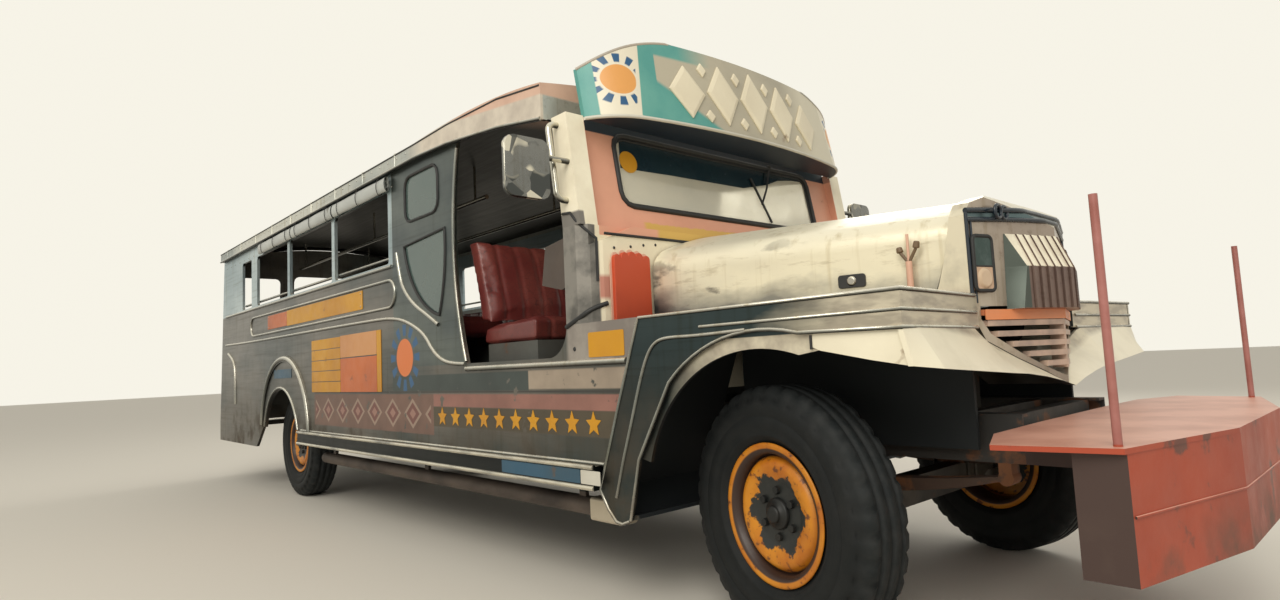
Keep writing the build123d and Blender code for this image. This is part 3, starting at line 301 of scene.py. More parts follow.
def cover(mask, colour, rough=0.45, metal=0.0):
    for key, after in (("Base_Color", colour), ("Roughness", rough), ("Metallic", metal)):
        socket = shader.inputs[key.replace("_", " ")]
        before = socket.links[0].from_socket if socket.is_linked else socket.default_value
        made = mix(mask, before, after) if key == "Base_Color" else between(mask, 0, 1, before, after)
        surface(**{key: made})


# The stainless finish has its surroundings painted into its colour: the side tone is the steel with the
# road's reflection painted in, its darker blotches are painted reflection too, upward faces take a painted
# cream reflection of the sky, and downward faces are painted near black as shade. Grain, drip stains and mud
# are the steel's own.
def stainless(name, side, deep, top, roughness=0.34, splash=(0.35, 0.90), waves=0.5):
    material = blank(name)
    tone = patchy(side, deep, 1.5, 0.40, 0.62, 5, (0.6, 1, 1.5))
    grain = cloud(1.0, 5, (1.2, 40, 40), 0.7)
    tone = mix(between(grain, 0.54, 0.78), tone, mix(1.0, tone, (0.62, 0.58, 0.52), "MULTIPLY"))
    # Painted reflection: upward faces turn to the cream sky tone.
    tone = mix(between(facing("Z"), 0.05, 0.80), tone, top)
    drips = between(cloud(1.0, 4, (26, 26, 1.3)), 0.55, 0.72)
    tone = mix(drips, tone, mix(1.0, tone, (0.78, 0.74, 0.66), "MULTIPLY"))
    # Painted shade: downward faces turn near black.
    tone = mix(between(facing("Z"), -0.1, -0.7), tone, (0.030, 0.031, 0.029))
    mud = times(between(spot()["Z"], splash[1], splash[0]), between(cloud(5, 6), 0.38, 0.66))
    tone = mix(mud, tone, (0.105, 0.083, 0.060))
    rough = maths("MAXIMUM", between(grain, 0, 1, roughness - 0.10, roughness + 0.16), mud)
    surface(Base_Color=tone, Roughness=rough, Metallic=0.8)
    swell = dent(cloud(3.2, 2), waves, 0.012)
    dent(grain, 0.12, 0.0012, Normal=swell)
    return material


def chipped(share):
    return between(cloud(17, 6), share + 0.05, share)


def around(beside, above):
    flat = node("CombineXYZ", {"X": beside, "Y": above}).outputs[0]
    reach = node("VectorMath", {0: flat}, operation="LENGTH").outputs["Value"]
    return reach, maths("ARCTAN2", above, beside)


def sun(across, height, middle, size, where, face=(0.66, 0.17, 0.035)):
    reach, angle = around(maths("SUBTRACT", across, middle[0]), maths("SUBTRACT", height, middle[1]))
    wave = maths("COSINE", maths("MULTIPLY", angle, 12.0))
    ray = times(strip(reach, 0.66 * size, size), between(wave, -0.1, 0.1))
    cover(times(where, ray), (0.014, 0.085, 0.20), 0.4)
    cover(times(where, between(reach, 0.58 * size, 0.56 * size)), face, 0.4)


side_sun = (-2.270, 0.940)
side_sun_size = 0.172
side_steel = stainless("side_steel", (0.175, 0.163, 0.143), (0.070, 0.082, 0.078), (0.62, 0.58, 0.49))
station, out, height = whereabouts()
outside = between(out, 0.922, 0.924)
band_rows = [
    # low, high, from, to, colour
    (0.766, 0.846, -2.42, -1.12, (0.040, 0.054, 0.050)),
    (0.772, 0.846, -1.12, -0.45, (0.36, 0.29, 0.22)),
    (0.758, 0.766, -3.66, -0.45, (0.035, 0.032, 0.028)),
    (0.555, 0.752, -3.66, -1.955, (0.17, 0.095, 0.070)),
    (0.692, 0.752, -1.955, -0.45, (0.29, 0.135, 0.105)),
    (0.598, 0.692, -1.955, -0.45, (0.075, 0.058, 0.034)),
]
for low, high, begin, end, colour in band_rows:
    ragged = times(outside, chipped(0.64), strip(height, low, high), strip(station, begin, end))
    cover(ragged, patchy(colour, tuple(0.72 * part for part in colour), 6, 0.35, 0.7, 5), 0.5)
swing = maths("PINGPONG", station, 0.1215)
rise = maths("ABSOLUTE", maths("SUBTRACT", height, 0.6535))
lozenge_reach = maths("MULTIPLY_ADD", rise, 1.35, swing)
skirt_field = times(outside, chipped(0.66), strip(height, 0.565, 0.742), strip(station, -3.63, -1.985))
lozenge_rows = ((0.104, (0.30, 0.215, 0.165)), (0.078, (0.155, 0.060, 0.048)), (0.038, (0.30, 0.165, 0.13)))
for edge, colour in lozenge_rows:
    cover(times(skirt_field, between(lozenge_reach, edge, edge - 0.003)), colour, 0.5)
cheek = times(outside, between(station, -0.86, -0.84), between(height, 0.874, 0.876))
cover(cheek, patchy((0.30, 0.27, 0.235), (0.19, 0.165, 0.145), 7, 0.4, 0.65), 0.5)
sun(station, height, side_sun, side_sun_size, outside)
dress(side_steel, "side_panel_right", "side_panel_left")
bright_steel = stainless(
    "bright_steel", (0.42, 0.40, 0.35), (0.22, 0.24, 0.225), (0.86, 0.82, 0.71), 0.22, (0.30, 0.60), 0.1)


def arc(middle, radius, begin, end, count):
    share = [math.radians(begin + (end - begin) * step / count) for step in range(count + 1)]
    return [(middle[0] + radius * math.cos(turn), middle[1] + radius * math.sin(turn)) for turn in share]


def pair(name, line, out, radius, material, loop=False, smooth=False, body="vehicle"):
    for hand, side in sides:
        course = [at(knot[0], hand * (out or knot[1]), knot[-1]) for knot in line]
        rod(f"{name}_{side}", course, radius, material, loop, smooth, body)


body_side = 0.925
oblong_middle = 1.290
oblong_rise = 0.074
oblong = arc((-2.447, oblong_middle), oblong_rise, -90, 90, 12)
oblong += arc((-5.094, oblong_middle), oblong_rise, 90, 270, 12)
contour = [
    (-5.98, 1.185), (-5.40, 1.172), (-2.62, 1.165), (-2.34, 1.150), (-2.17, 1.105), (-2.03, 1.045),
    (-1.95, 0.965), (-1.86, 0.915), (-1.75, 0.892), (-1.63, 0.888),
]
corner_tube = [(-5.90, 1.105), (-5.75, 1.055), (-5.685, 0.985), (-5.662, 0.80), (-5.662, 0.665)]
bead_rows = [
    # name, line along the side and up, radius, closed, rounded
    ("oblong_bead", oblong, 0.009, True, False),
    ("contour_bead", contour, 0.010, False, True),
    ("arch_trim", arc((-4.310, 0.460), 0.548, 174, 2, 40), 0.020, False, False),
    ("arch_bead", arc((rear_axle_station, 0.385), 0.412, 163, 17, 36), 0.010, False, False),
    ("corner_tube", corner_tube, 0.012, False, True),
    ("sill_bead", [(-1.62, 0.866), (-0.512, 0.866)], 0.012, False, False),
    ("skirt_bead", [(-3.93, 0.506), (-0.652, 0.506)], 0.008, False, False),
]
for name, line, radius, closed, rounded in bead_rows:
    pair(name, line, body_side + 0.001, radius, bright_steel, closed, rounded)


# Signs on the sides: thin enamelled plates, left blank, a stack of yellow strips beside
# two orange fields, a small blue plate over the wheel, and a row of cut vinyl stars.
def slab(name, outline, origin, along, upward, thickness):
    out = along.cross(upward)
    count = len(outline)
    face = [origin + along * u + upward * v for u, v in outline]
    faces = [tuple(range(count)), tuple(range(count, 2 * count))]
    faces += [(step, (step + 1) % count, count + (step + 1) % count, count + step) for step in range(count)]
    mesh = bpy.data.meshes.new(name)
    mesh.from_pydata(face + [place + out * thickness for place in face], [], faces)
    shape = bmesh.new()
    shape.from_mesh(mesh)
    bmesh.ops.recalc_face_normals(shape, faces=shape.faces)
    shape.to_mesh(mesh)
    shape.free()
    return stand(name, mesh)


def side_slab(name, outline, out, thickness, material, bevel=0):
    for hand, side in sides:
        face = [(-hand * u, z) for u, z in outline]
        piece = slab(f"{name}_{side}", face, at(0, hand * out, 0), Vector((-hand, 0, 0)), up, thickness)
        fix(piece, material, bevel=bevel)


def rectangle(left, low, right, high, corner=0.006):
    spots = ((right, high, 0), (left, high, 90), (left, low, 180), (right, low, 270))
    outline = []
    for u, v, turn in spots:
        middle = (u + (corner if u == left else -corner), v + (corner if v == low else -corner))
        outline += arc(middle, corner, turn, turn + 90, 3)
    return outline


def studs(name, places, out, radius, rise, segments=10, taper=0.6):
    mesh = bpy.data.meshes.new(name)
    shape = bmesh.new()
    turn = out.to_track_quat("Z", "Y").to_matrix().to_4x4()
    for place in places:
        bmesh.ops.create_cone(
            shape, cap_ends=True, segments=segments, radius1=radius, radius2=radius * taper, depth=rise,
            matrix=Matrix.Translation(place + out * rise / 2) @ turn)
    shape.to_mesh(mesh)
    shape.free()
    return stand(name, mesh)


def side_studs(name, places, out, radius, rise, material, segments=10):
    for hand, side in sides:
        spots = [at(u, hand * out, z) for u, z in places]
        fix(studs(f"{name}_{side}", spots, Vector((0, hand, 0)), radius, rise, segments), material)


sign_yellow = grimed_paint(
    "sign_yellow", (0.60, 0.285, 0.004), (0.50, 0.215, 0.004), (0.32, 0.15, 0.03), 0.4, 0.66)
sign_orange = grimed_paint(
    "sign_orange", (0.56, 0.14, 0.030), (0.45, 0.11, 0.030), (0.26, 0.09, 0.04), 0.4, 0.66)
sign_peach = grimed_paint("sign_peach", (0.60, 0.28, 0.10), (0.52, 0.22, 0.07), (0.30, 0.13, 0.06), 0.4, 0.66)
sign_blue = grimed_paint(
    "sign_blue", (0.022, 0.085, 0.145), (0.03, 0.07, 0.10), (0.09, 0.07, 0.055), 0.4, 0.64)
sign_rows = [
    # name, material, from, low, to, high, thickness
    ("long_sign", sign_yellow, -4.225, 1.240, -2.820, 1.350, 0.003),
    ("long_sign_end", sign_orange, -4.700, 1.243, -4.229, 1.347, 0.003),
    ("field_sign_high", sign_peach, -3.180, 0.972, -2.628, 1.106, 0.003),
    ("field_sign_low", sign_orange, -3.180, 0.764, -2.628, 0.966, 0.003),
    ("field_sign_edge", sign_yellow, -2.624, 0.764, -2.566, 1.106, 0.003),
    ("arch_sign", sign_blue, -4.545, 0.866, -4.135, 0.930, 0.003),
    ("cheek_sign", sign_yellow, -0.720, 0.884, -0.522, 0.974, 0.002),
]
for row in range(5):
    low = 0.764 + 0.0685 * row
    sign_rows.append((f"list_sign_{row + 1}", sign_yellow, -3.702, low, -3.184, low + 0.064, 0.003))
for name, material, left, low, right_end, high, thickness in sign_rows:
    plate = rectangle(left, low, right_end, high)
    side_slab(name, plate, body_side, thickness, material, 0.0008)
screws = [(u, z) for u in (-4.674, -2.846) for z in (1.258, 1.332)]
side_studs("sign_screws", screws, body_side + 0.003, 0.005, 0.002, bright_steel)
star_size = 0.046
star_height = 0.645
star_first = -1.865
star_pitch = 0.1285
star_count = 10
tips = [(star_size * (0.45 if tip % 2 else 1), math.pi / 2 + math.pi * tip / 5) for tip in range(10)]
star_line = [(reach * math.cos(turn), reach * math.sin(turn)) for reach, turn in tips]
for hand, side in sides:
    for order in range(star_count):
        middle = at(star_first + star_pitch * order, hand * body_side, star_height)
        star = slab(f"star_{side}_{order + 1}", star_line, middle, Vector((-hand, 0, 0)), up, 0.0015)
        fix(star, sign_yellow)


# Window posts and rails: pressed stainless channels riveted over steel tube, with a thin
# rail inside each window that keeps elbows in.
window_steel = stainless("window_steel", (0.48, 0.56, 0.58), (0.30, 0.38, 0.41), (0.66, 0.62, 0.53), 0.36)
dress(window_steel, "window_posts", "window_rails")
window_sill = 1.455
window_head = 1.850
gusset = 0.028
pair("elbow_rail", [(-5.45, 1.492), (-2.44, 1.492)], 0.893, 0.009, bright_steel)
pair("sill_cap", [(-5.97, 1.437), (-2.41, 1.437)], body_side, 0.011, bright_steel)
for bay, (begin, end) in enumerate(((-5.440, -5.160), (-5.000, -4.215), (-4.165, -3.315), (-3.265, -2.450))):
    for corner, (u, z, turn) in enumerate((
        (begin, window_sill, 180), (end, window_sill, 270), (end, window_head, 0), (begin, window_head, 90),
    )):
        middle = (u + (gusset if u == begin else -gusset), z + (gusset if z == window_sill else -gusset))
        web = [(u, z)] + arc(middle, gusset, turn, turn + 90, 5)
        for hand, side in sides:
            name = f"window_gusset_{side}_{bay + 1}_{corner + 1}"
            face = [(-hand * along, rise) for along, rise in web]
            plate = slab(name, face, at(0, hand * 0.907, 0), Vector((-hand, 0, 0)), up, 0.016)
            fix(plate, window_steel)
rivet_pitch = 0.142
rivets = [(-5.95 + rivet_pitch * order, z) for order in range(26) for z in (1.445, 1.872)]
side_studs("window_rivets", rivets, body_side, 0.0045, 0.0025, bright_steel)


# Quarter panels: the stainless sheet between the cabin and the doorway. Its two lights are
# set in black rubber, and a raised bead sweeps round the foot of the leaf-shaped one.
quarter_steel = stainless(
    "quarter_steel", (0.125, 0.145, 0.132), (0.060, 0.076, 0.078), (0.66, 0.62, 0.52), 0.3)
station, out, height = whereabouts()
sun(station, height, side_sun, side_sun_size, between(out, 0.922, 0.924))
dress(quarter_steel, "quarter_panels")
rubber_black = grimed_paint(
    "rubber_black", (0.012, 0.013, 0.014), (0.022, 0.021, 0.020), (0.05, 0.045, 0.04), 0.55, 0.7)


def three_point_arc(first, second, third, count):
    (ax, ay), (bx, by), (cx, cy) = first, second, third
    twice = 2 * (ax * (by - cy) + bx * (cy - ay) + cx * (ay - by))
    sizes = (ax * ax + ay * ay, bx * bx + by * by, cx * cx + cy * cy)
    x = (sizes[0] * (by - cy) + sizes[1] * (cy - ay) + sizes[2] * (ay - by)) / twice
    y = (sizes[0] * (cx - bx) + sizes[1] * (ax - cx) + sizes[2] * (bx - ax)) / twice
    begin, passed, end = (math.degrees(math.atan2(v - y, u - x)) for u, v in (first, second, third))
    forward = (passed - begin) % 360 <= (end - begin) % 360
    sweep = (end - begin) % 360 if forward else -((begin - end) % 360)
    return arc((x, y), math.hypot(ax - x, ay - y), begin, begin + sweep, count)


leaf = [(-2.250, 1.520)] + three_point_arc((-1.800, 1.545), (-1.810, 1.330), (-1.870, 1.130), 12)
leaf += three_point_arc((-1.870, 1.130), (-2.100, 1.250), (-2.250, 1.520), 14)[1:-1]
upper_light = rectangle(-2.230, 1.640, -1.860, 1.880, 0.060)
door_edge = three_point_arc((-1.622, 0.900), (-1.715, 1.420), (-1.662, 1.900), 16)
leaf_bead = [
    (-2.345, 1.50), (-2.318, 1.395), (-2.272, 1.300), (-2.150, 1.205), (-1.985, 1.135), (-1.885, 1.085),
]
for name, line, radius, material, closed, rounded in (
    ("leaf_seal", leaf, 0.008, rubber_black, True, False),
    ("upper_seal", upper_light, 0.008, rubber_black, True, False),
    ("door_bead", door_edge, 0.008, bright_steel, False, False),
    ("leaf_bead", leaf_bead, 0.011, bright_steel, False, True),
):
    pair(name, line, body_side, radius, material, closed, rounded)


# Rear wall: stainless sheet that leans forward, with an open entrance between two windows.
# Rubber edges the openings, and rolled beads stiffen the sheet under them.
rear_steel = stainless("rear_steel", (0.20, 0.19, 0.17), (0.095, 0.105, 0.10), (0.62, 0.58, 0.49))
dress(rear_steel, "rear_wall")
rear_foot = (-6.200, 0.500)
rear_head = (-6.060, 1.943)
rear_slope = math.atan2(rear_head[0] - rear_foot[0], rear_head[1] - rear_foot[1])
rear_up = Vector((math.sin(rear_slope), 0, math.cos(rear_slope)))
back_out = Vector((0, -1, 0)).cross(rear_up)


def on_rear(across, rise, proud=0.0):
    return at(rear_foot[0], across, rear_foot[1]) + rear_up * rise + back_out * proud


rear_light = rectangle(0.4375, 0.972, 0.7975, 1.327, 0.050)
for name, line, radius in (
    ("entrance_edge", rectangle(-0.330, 0.210, 0.330, 1.360, 0.060), 0.010),
    ("rear_light_edge_left", rear_light, 0.008),
    ("rear_light_edge_right", [(-u, v) for u, v in rear_light], 0.008),
):
    rod(name, [on_rear(u, v) for u, v in line], radius, rubber_black, True)
for hand, side in sides:
    for order, rise in enumerate((0.27, 0.62, 0.90)):
        line = [on_rear(hand * 0.375, rise), on_rear(hand * 0.865, rise)]
        rod(f"rear_bead_{side}_{order + 1}", line, 0.010, bright_steel)
crown_seal = [
    at(rear_foot[0] + (z - rear_foot[1]) * math.tan(rear_slope) + 0.004, y, z)
    for y, z in three_point_arc((-0.905, 1.985), (0, 2.128), (0.905, 1.985), 24)
]
rod("rear_crown_seal", crown_seal, 0.014, rubber_black)
plate_white = grimed_paint("plate_white", (0.62, 0.60, 0.52), (0.50, 0.47, 0.39), (0.3, 0.2, 0.12), 0.4, 0.68)
plate_face = rectangle(-0.17, 0, 0.17, 0.14)
number_plate = slab("number_plate", plate_face, on_rear(-0.60, 0.36), Vector((0, -1, 0)), rear_up, 0.002)
fix(number_plate, plate_white)


# Roof: a stainless skin over bent tube, pale all over, with a cream sky reflection painted
# on top and salmon paint on its front slope. Flat seams cross it, with a rivet row above the
# gutter on each side.
roof_skin = stainless("roof_skin", (0.60, 0.60, 0.54), (0.34, 0.37, 0.36), (0.60, 0.56, 0.47), 0.4)
station, out, height = whereabouts()
gutter_band = times(between(out, 0.940, 0.945), between(station, -2.15, -1.95))
cover(gutter_band, patchy((0.64, 0.57, 0.47), (0.47, 0.41, 0.34), 9, 0.4, 0.7), 0.4)
salmon = patchy((0.66, 0.44, 0.33), (0.54, 0.34, 0.25), 5, 0.4, 0.7)
cover(times(between(station, -1.72, -1.68), between(facing("Z"), 0.4, 0.6)), salmon)
above_bend = maths("MULTIPLY_ADD", station, 0.123, height)
cover(times(between(above_bend, 1.808, 1.816), between(station, -1.75, -1.55)), salmon)
dress(roof_skin, "roof_panel")
roof_side = 0.955
roof_foot = 1.950
roof_spring = 2.018
roof_crown = 2.168
seam_count = 9
seam_pitch = 0.44
seam_line = [(-roof_side - 0.001, roof_foot)]
seam_line += three_point_arc((-roof_side, roof_spring), (0, roof_crown), (roof_side, roof_spring), 24)
seam_line.append((roof_side + 0.001, roof_foot))
for order in range(seam_count):
    seam = [at(-5.80 + order * seam_pitch, y, z) for y, z in seam_line]
    rod(f"roof_seam_{order + 1}", seam, 0.005, roof_skin)
gutter_run = [(-6.055, 1.945), (-2.050, 1.945), (-1.700, 1.929), (-1.250, 1.881), (-0.930, 1.828)]
crease_run = [(-6.055, 2.012), (-2.050, 2.012), (-1.700, 2.017), (-1.250, 2.003), (-0.930, 1.962)]
pair("gutter_lip", gutter_run, roof_side, 0.008, bright_steel)
pair("gutter_crease", crease_run, roof_side, 0.004, rubber_black)
roof_pitch = 0.11
rivets = [(-6.0 + roof_pitch * order, 1.990) for order in range(36)]
side_studs("roof_rivets", rivets, roof_side, 0.005, 0.003, bright_steel)


# Cowl: a cream enamelled scuttle with bare grey cheeks that turn the corner into the
# doorway, a padded red gusset beside the hood, and a short row of screws.
cream_enamel = grimed_paint(
    "cream_enamel", (0.84, 0.76, 0.57), (0.74, 0.66, 0.49), (0.36, 0.27, 0.18), 0.38, 0.67)
station, out, height = whereabouts()
cheek_grey = patchy((0.25, 0.235, 0.21), (0.115, 0.110, 0.10), 9, 0.42, 0.62, 5)
cover(between(out, 0.862, 0.868), cheek_grey, 0.45, 0.5)
collar = times(between(height, 1.3430, 1.3445), between(out, 0.8435, 0.8420))
cover(collar, (0.74, 0.37, 0.25), 0.4)
cover(times(collar, between(out, 0.575, 0.555)), (0.66, 0.42, 0.10))
cover(times(strip(out, 0.822, 0.866), strip(height, 1.100, 1.186, 0.008)), (0.52, 0.23, 0.17))
dress(cream_enamel, "cowl")
gusset_red = grimed_paint(
    "gusset_red", (0.56, 0.070, 0.022), (0.44, 0.055, 0.022), (0.18, 0.05, 0.03), 0.38, 0.68)
salmon_trim = grimed_paint("salmon_trim", (0.72, 0.45, 0.33), (0.62, 0.36, 0.26), (0.3, 0.15, 0.1), 0.4, 0.68)
gusset_inner = 0.634
gusset_outer = 0.818
gusset_low = 1.014
scallop_count = 5
scallop = (gusset_outer - gusset_inner) / scallop_count / 2


def gusset_outline(grow):
    outline = [(gusset_outer + grow, gusset_low), (gusset_outer + grow, 1.225)]
    for order in range(scallop_count):
        middle = gusset_outer - scallop * (2 * order + 1)
        crest = 1.228 + 0.034 * math.sin(math.pi * (order + 1.4) / (scallop_count + 2)) + grow
        outline += arc((middle, crest), scallop, 20, 160, 4)
    return outline + [(gusset_inner - grow, gusset_low)]


cowl_front = -0.700
to_left = Vector((0, 1, 0))
door_seam = [
    (-0.846, 0.927, 1.434), (-0.798, 0.927, 1.430), (-0.772, 0.925, 1.400), (-0.742, 0.908, 1.365),
    (-0.716, 0.872, 1.325), (-0.716, 0.872, 1.165),
]
deck_seam = [(-0.848, 0.926, 1.002), (-0.770, 0.926, 1.030), (-0.722, 0.895, 1.066), (-0.702, 0.840, 1.082)]
pair("cheek_seam", door_seam, None, 0.0055, rubber_black)
pair("deck_seam", deck_seam, None, 0.009, rubber_black, False, True)
side_studs("cheek_plug", [(-0.805, 0.918)], body_side, 0.009, 0.003, rubber_black, 14)
screw_row = ((0.800, 1.292), (0.717, 1.302), (0.650, 1.312), (0.585, 1.318))
for hand, side in sides:
    for name, grow, thickness, material, bevel in (
        ("gusset_trim", 0.010, 0.003, salmon_trim, 0.0008), ("gusset", 0.0, 0.018, gusset_red, 0.014),
    ):
        face = [(hand * u, v) for u, v in gusset_outline(grow)]
        piece = slab(f"{name}_{side}", face, at(cowl_front, 0, 0), to_left, up, thickness)
        fix(piece, material, bevel=bevel, steps=4)
    screws = [at(cowl_front, hand * y, z) for y, z in screw_row]
    fix(studs(f"cowl_screws_{side}", screws, Vector((1, 0, 0)), 0.006, 0.003), rubber_black)


# Windscreen: a salmon enamelled frame between cream posts, its pane set in thick rubber.
# A dark tint film over the top of the pane carries the visor's painted shade, the header
# above the pane is painted dark navy as shade, and one wiper hangs from the header on the
# driver's side.
screen_pink = grimed_paint(
    "screen_pink", (0.74, 0.37, 0.25), (0.62, 0.30, 0.20), (0.30, 0.12, 0.08), 0.4, 0.67)
station, out, height = whereabouts()
ragged = maths("MULTIPLY_ADD", cloud(20), 0.030, height)
cover(times(strip(ragged, 1.330, 1.440), between(out, 0.575, 0.555)), (0.66, 0.42, 0.10))
cover(between(out, 0.8405, 0.8415), patchy((0.93, 0.87, 0.69), (0.80, 0.73, 0.56), 6, 0.4, 0.7), 0.4)
cover(times(between(out, 0.900, 0.903), between(height, 1.436, 1.428)), (0.21, 0.195, 0.175), 0.45, 0.5)
# Painted shade: the header above the pane is dark navy as the shade under the visor.
cover(times(between(height, 1.781, 1.785), between(out, 0.8405, 0.8395)), (0.010, 0.020, 0.035), 0.5)
dress(screen_pink, "windscreen_frame")
screen_lean = math.radians(10)
screen_out = Vector((math.cos(screen_lean), 0, math.sin(screen_lean)))
screen_up = Vector((-math.sin(screen_lean), 0, math.cos(screen_lean)))


def on_screen(across, rise, proud=0.030):
    return at(-0.800, across, 1.380) + screen_up * rise + screen_out * proud


# Tint film that is also painted shade: its dark edge follows the visor's shade and reflection on the pane.
shade_film = grimed_paint(
    "shade_film", (0.006, 0.020, 0.030), (0.010, 0.028, 0.036), (0.05, 0.05, 0.04), 0.18, 0.72)
film_line = [
    (-0.640, 0.272), (-0.35, 0.281), (0.14, 0.288), (0.33, 0.331), (0.43, 0.367), (0.55, 0.385),
    (0.64, 0.390), (0.625, 0.408), (-0.625, 0.408),
]
film = slab("shade_film", film_line, on_screen(0, 0, 0.0213), to_left, screen_up, 0.0006)
fix(film, shade_film)
sticker = arc((-0.592, 0.305), 0.048, 0, 345, 23)
sticker = slab("round_sticker", sticker, on_screen(0, 0, 0.0220), to_left, screen_up, 0.0012)
fix(sticker, sign_yellow)
for name, line, radius, proud in (
    ("screen_seal", rectangle(-0.668, 0.103, 0.668, 0.415, 0.060), 0.011, 0.030),
    ("screen_seal_lip", rectangle(-0.655, 0.116, 0.655, 0.402, 0.050), 0.006, 0.022),
):
    rod(name, [on_screen(u, v, proud) for u, v in line], radius, rubber_black, True)
rod("cowl_seam", [at(-0.6985, y, 1.3435) for y in (-0.845, 0.845)], 0.0055, rubber_black)
arm = [on_screen(0.36, 0.425, 0.036), on_screen(0.30, 0.300, 0.040), on_screen(0.25, 0.215, 0.030)]
blade = [on_screen(0.20, 0.345, 0.029), on_screen(0.30, 0.125, 0.029)]
rod("wiper_arm", arm, 0.005, rubber_black)
rod("wiper_blade", blade, 0.006, rubber_black)
pivot = studs("wiper_pivot", [on_screen(0.36, 0.425)], screen_out, 0.014, 0.014, 20)
fix(pivot, rubber_black, bevel=0.002)


# Visor: a sheet-steel signboard with painted bands. Its middle carries raised cream
# lozenges, a rolled lip stiffens its foot, and the closed underside is painted dark blue as
# shade.
visor_cream = grimed_paint(
    "visor_cream", (0.46, 0.42, 0.32), (0.38, 0.35, 0.27), (0.32, 0.26, 0.19), 0.42, 0.69)
station, out, height = whereabouts()
teal = patchy((0.075, 0.30, 0.27), (0.12, 0.36, 0.31), 5, 0.38, 0.66)
lifted = maths("SUBTRACT", height, 1.980)
outer_edge = maths("MULTIPLY_ADD", lifted, 0.12, out)
inner_edge = maths("MULTIPLY_ADD", lifted, 0.07, out)
slant = maths("MULTIPLY_ADD", out, -0.55, height)
leftward = spot()["Y"]
near = between(leftward, 0.02, -0.02)
cover(between(leftward, 0.25, 0.45), (0.62, 0.575, 0.44), 0.4)
for mask in (
    times(between(slant, 1.690, 1.670), between(out, 0.22, 0.26)),
    times(between(out, 0.24, 0.42), between(height, 2.100, 2.112)), between(inner_edge, 0.558, 0.561),
):
    cover(times(near, mask), teal, 0.4)
cover(between(outer_edge, 0.639, 0.642), (0.74, 0.69, 0.55), 0.4)
sun(out, height, (0.722, 1.970), 0.112, between(outer_edge, 0.655, 0.660), (0.70, 0.33, 0.09))
cover(between(out, 0.800, 0.803), teal, 0.4)
cover(between(height, 1.819, 1.817), (0.62, 0.60, 0.53), 0.4)
# Painted shade: downward faces of the underside dark blue.
cover(between(facing("Z"), -0.5, -0.7), (0.008, 0.018, 0.034), 0.5)
dress(visor_cream, "visor")
visor_low = 1.805
visor_lean = 0.2
lozenge_cream = grimed_paint(
    "lozenge_cream", (0.76, 0.69, 0.52), (0.66, 0.59, 0.44), (0.38, 0.31, 0.22), 0.4, 0.69)
front_bow = three_point_arc((-0.640, -0.650), (0, -0.588), (0.640, -0.650), 64)
end_bow = three_point_arc((0.640, -0.650), (0.75485, -0.699), (0.8397, -0.792), 16)


def visor_front(across, height, proud=0.0):
    line = front_bow if abs(across) <= 0.640 else end_bow
    place = across if abs(across) <= 0.640 else abs(across)
    station = line[-1][1]
    for (begin, first), (end, second) in zip(line, line[1:]):
        if begin - 1e-9 <= place <= end + 1e-9:
            station = first + (second - first) * (place - begin) / (end - begin)
            break
    return at(station - visor_lean * (height - visor_low) + proud, across, height)


def lozenge(name, middle, height, half, rise, thickness):
    corners = ((1, 0), (0.22, 0.78), (0, 1), (-0.22, 0.78), (-1, 0), (-0.22, -0.78), (0, -1), (0.22, -0.78))
    points = [
        visor_front(middle + half * share * u, height + rise * share * v, proud)
        for share, proud in ((1.0, -0.001), (1.0, thickness * 0.55), (0.80, thickness)) for u, v in corners
    ]
    points += [visor_front(middle, height, thickness), visor_front(middle, height, -0.001)]
    faces = []
    for step in range(8):
        after = (step + 1) % 8
        faces += [(ring + step, ring + after, ring + 8 + after, ring + 8 + step) for ring in (0, 8)]
        faces += [(16 + step, 16 + after, 24), (after, step, 25)]
    mesh = bpy.data.meshes.new(name)
    mesh.from_pydata(points, [], faces)
    fix(stand(name, mesh), lozenge_cream, bevel=0.002)


for order in range(5):
    middle = -0.412 + 0.206 * order
    crest = 2.140 - 0.055 * (abs(middle) / 0.412) ** 2
    lozenge(f"visor_lozenge_{order + 1}", middle, (crest + 1.845) / 2, 0.094, (crest - 1.845) / 2, 0.012)
    for high, rise in ((1.872, 0.030), (2.085, 0.034)) if order < 4 else ():
        lozenge(f"visor_bud_{order + 1}_{int(high * 1000)}", middle + 0.103, high, 0.026, rise, 0.009)
lip_line = [visor_front(-0.838 + 1.676 * step / 60, visor_low + 0.006) for step in range(61)]
rod("visor_lip", lip_line, 0.007, plate_white)
crown_bend = three_point_arc((0.480, 2.172), (0.720, 2.099), (0.8397, 2.025), 14)
crown_line = [(-y, z) for y, z in reversed(crown_bend)] + crown_bend
rim_paint = grimed_paint("visor_rim", (0.47, 0.40, 0.33), (0.34, 0.33, 0.28), (0.25, 0.18, 0.13), 0.42, 0.67)
rod("visor_rim", [visor_front(y, z - 0.003, -0.004) for y, z in crown_line], 0.007, rim_paint)


# Hood: one stainless shell hinged at the cowl. The sky's reflection is painted into it in
# cream above, and its flanks are painted down into darker grey and, low at the rear, dark
# teal as a painted reflection of the road; soot spots the flanks. A catch holds it shut on
# each side, beside a small bronze sprig that stands on the fender.
hood_steel = stainless(
    "hood_steel", (0.80, 0.74, 0.56), (0.62, 0.57, 0.44), (0.86, 0.81, 0.64), 0.30, waves=0.6)
surface(Metallic=0.30)
station, out, height = whereabouts()
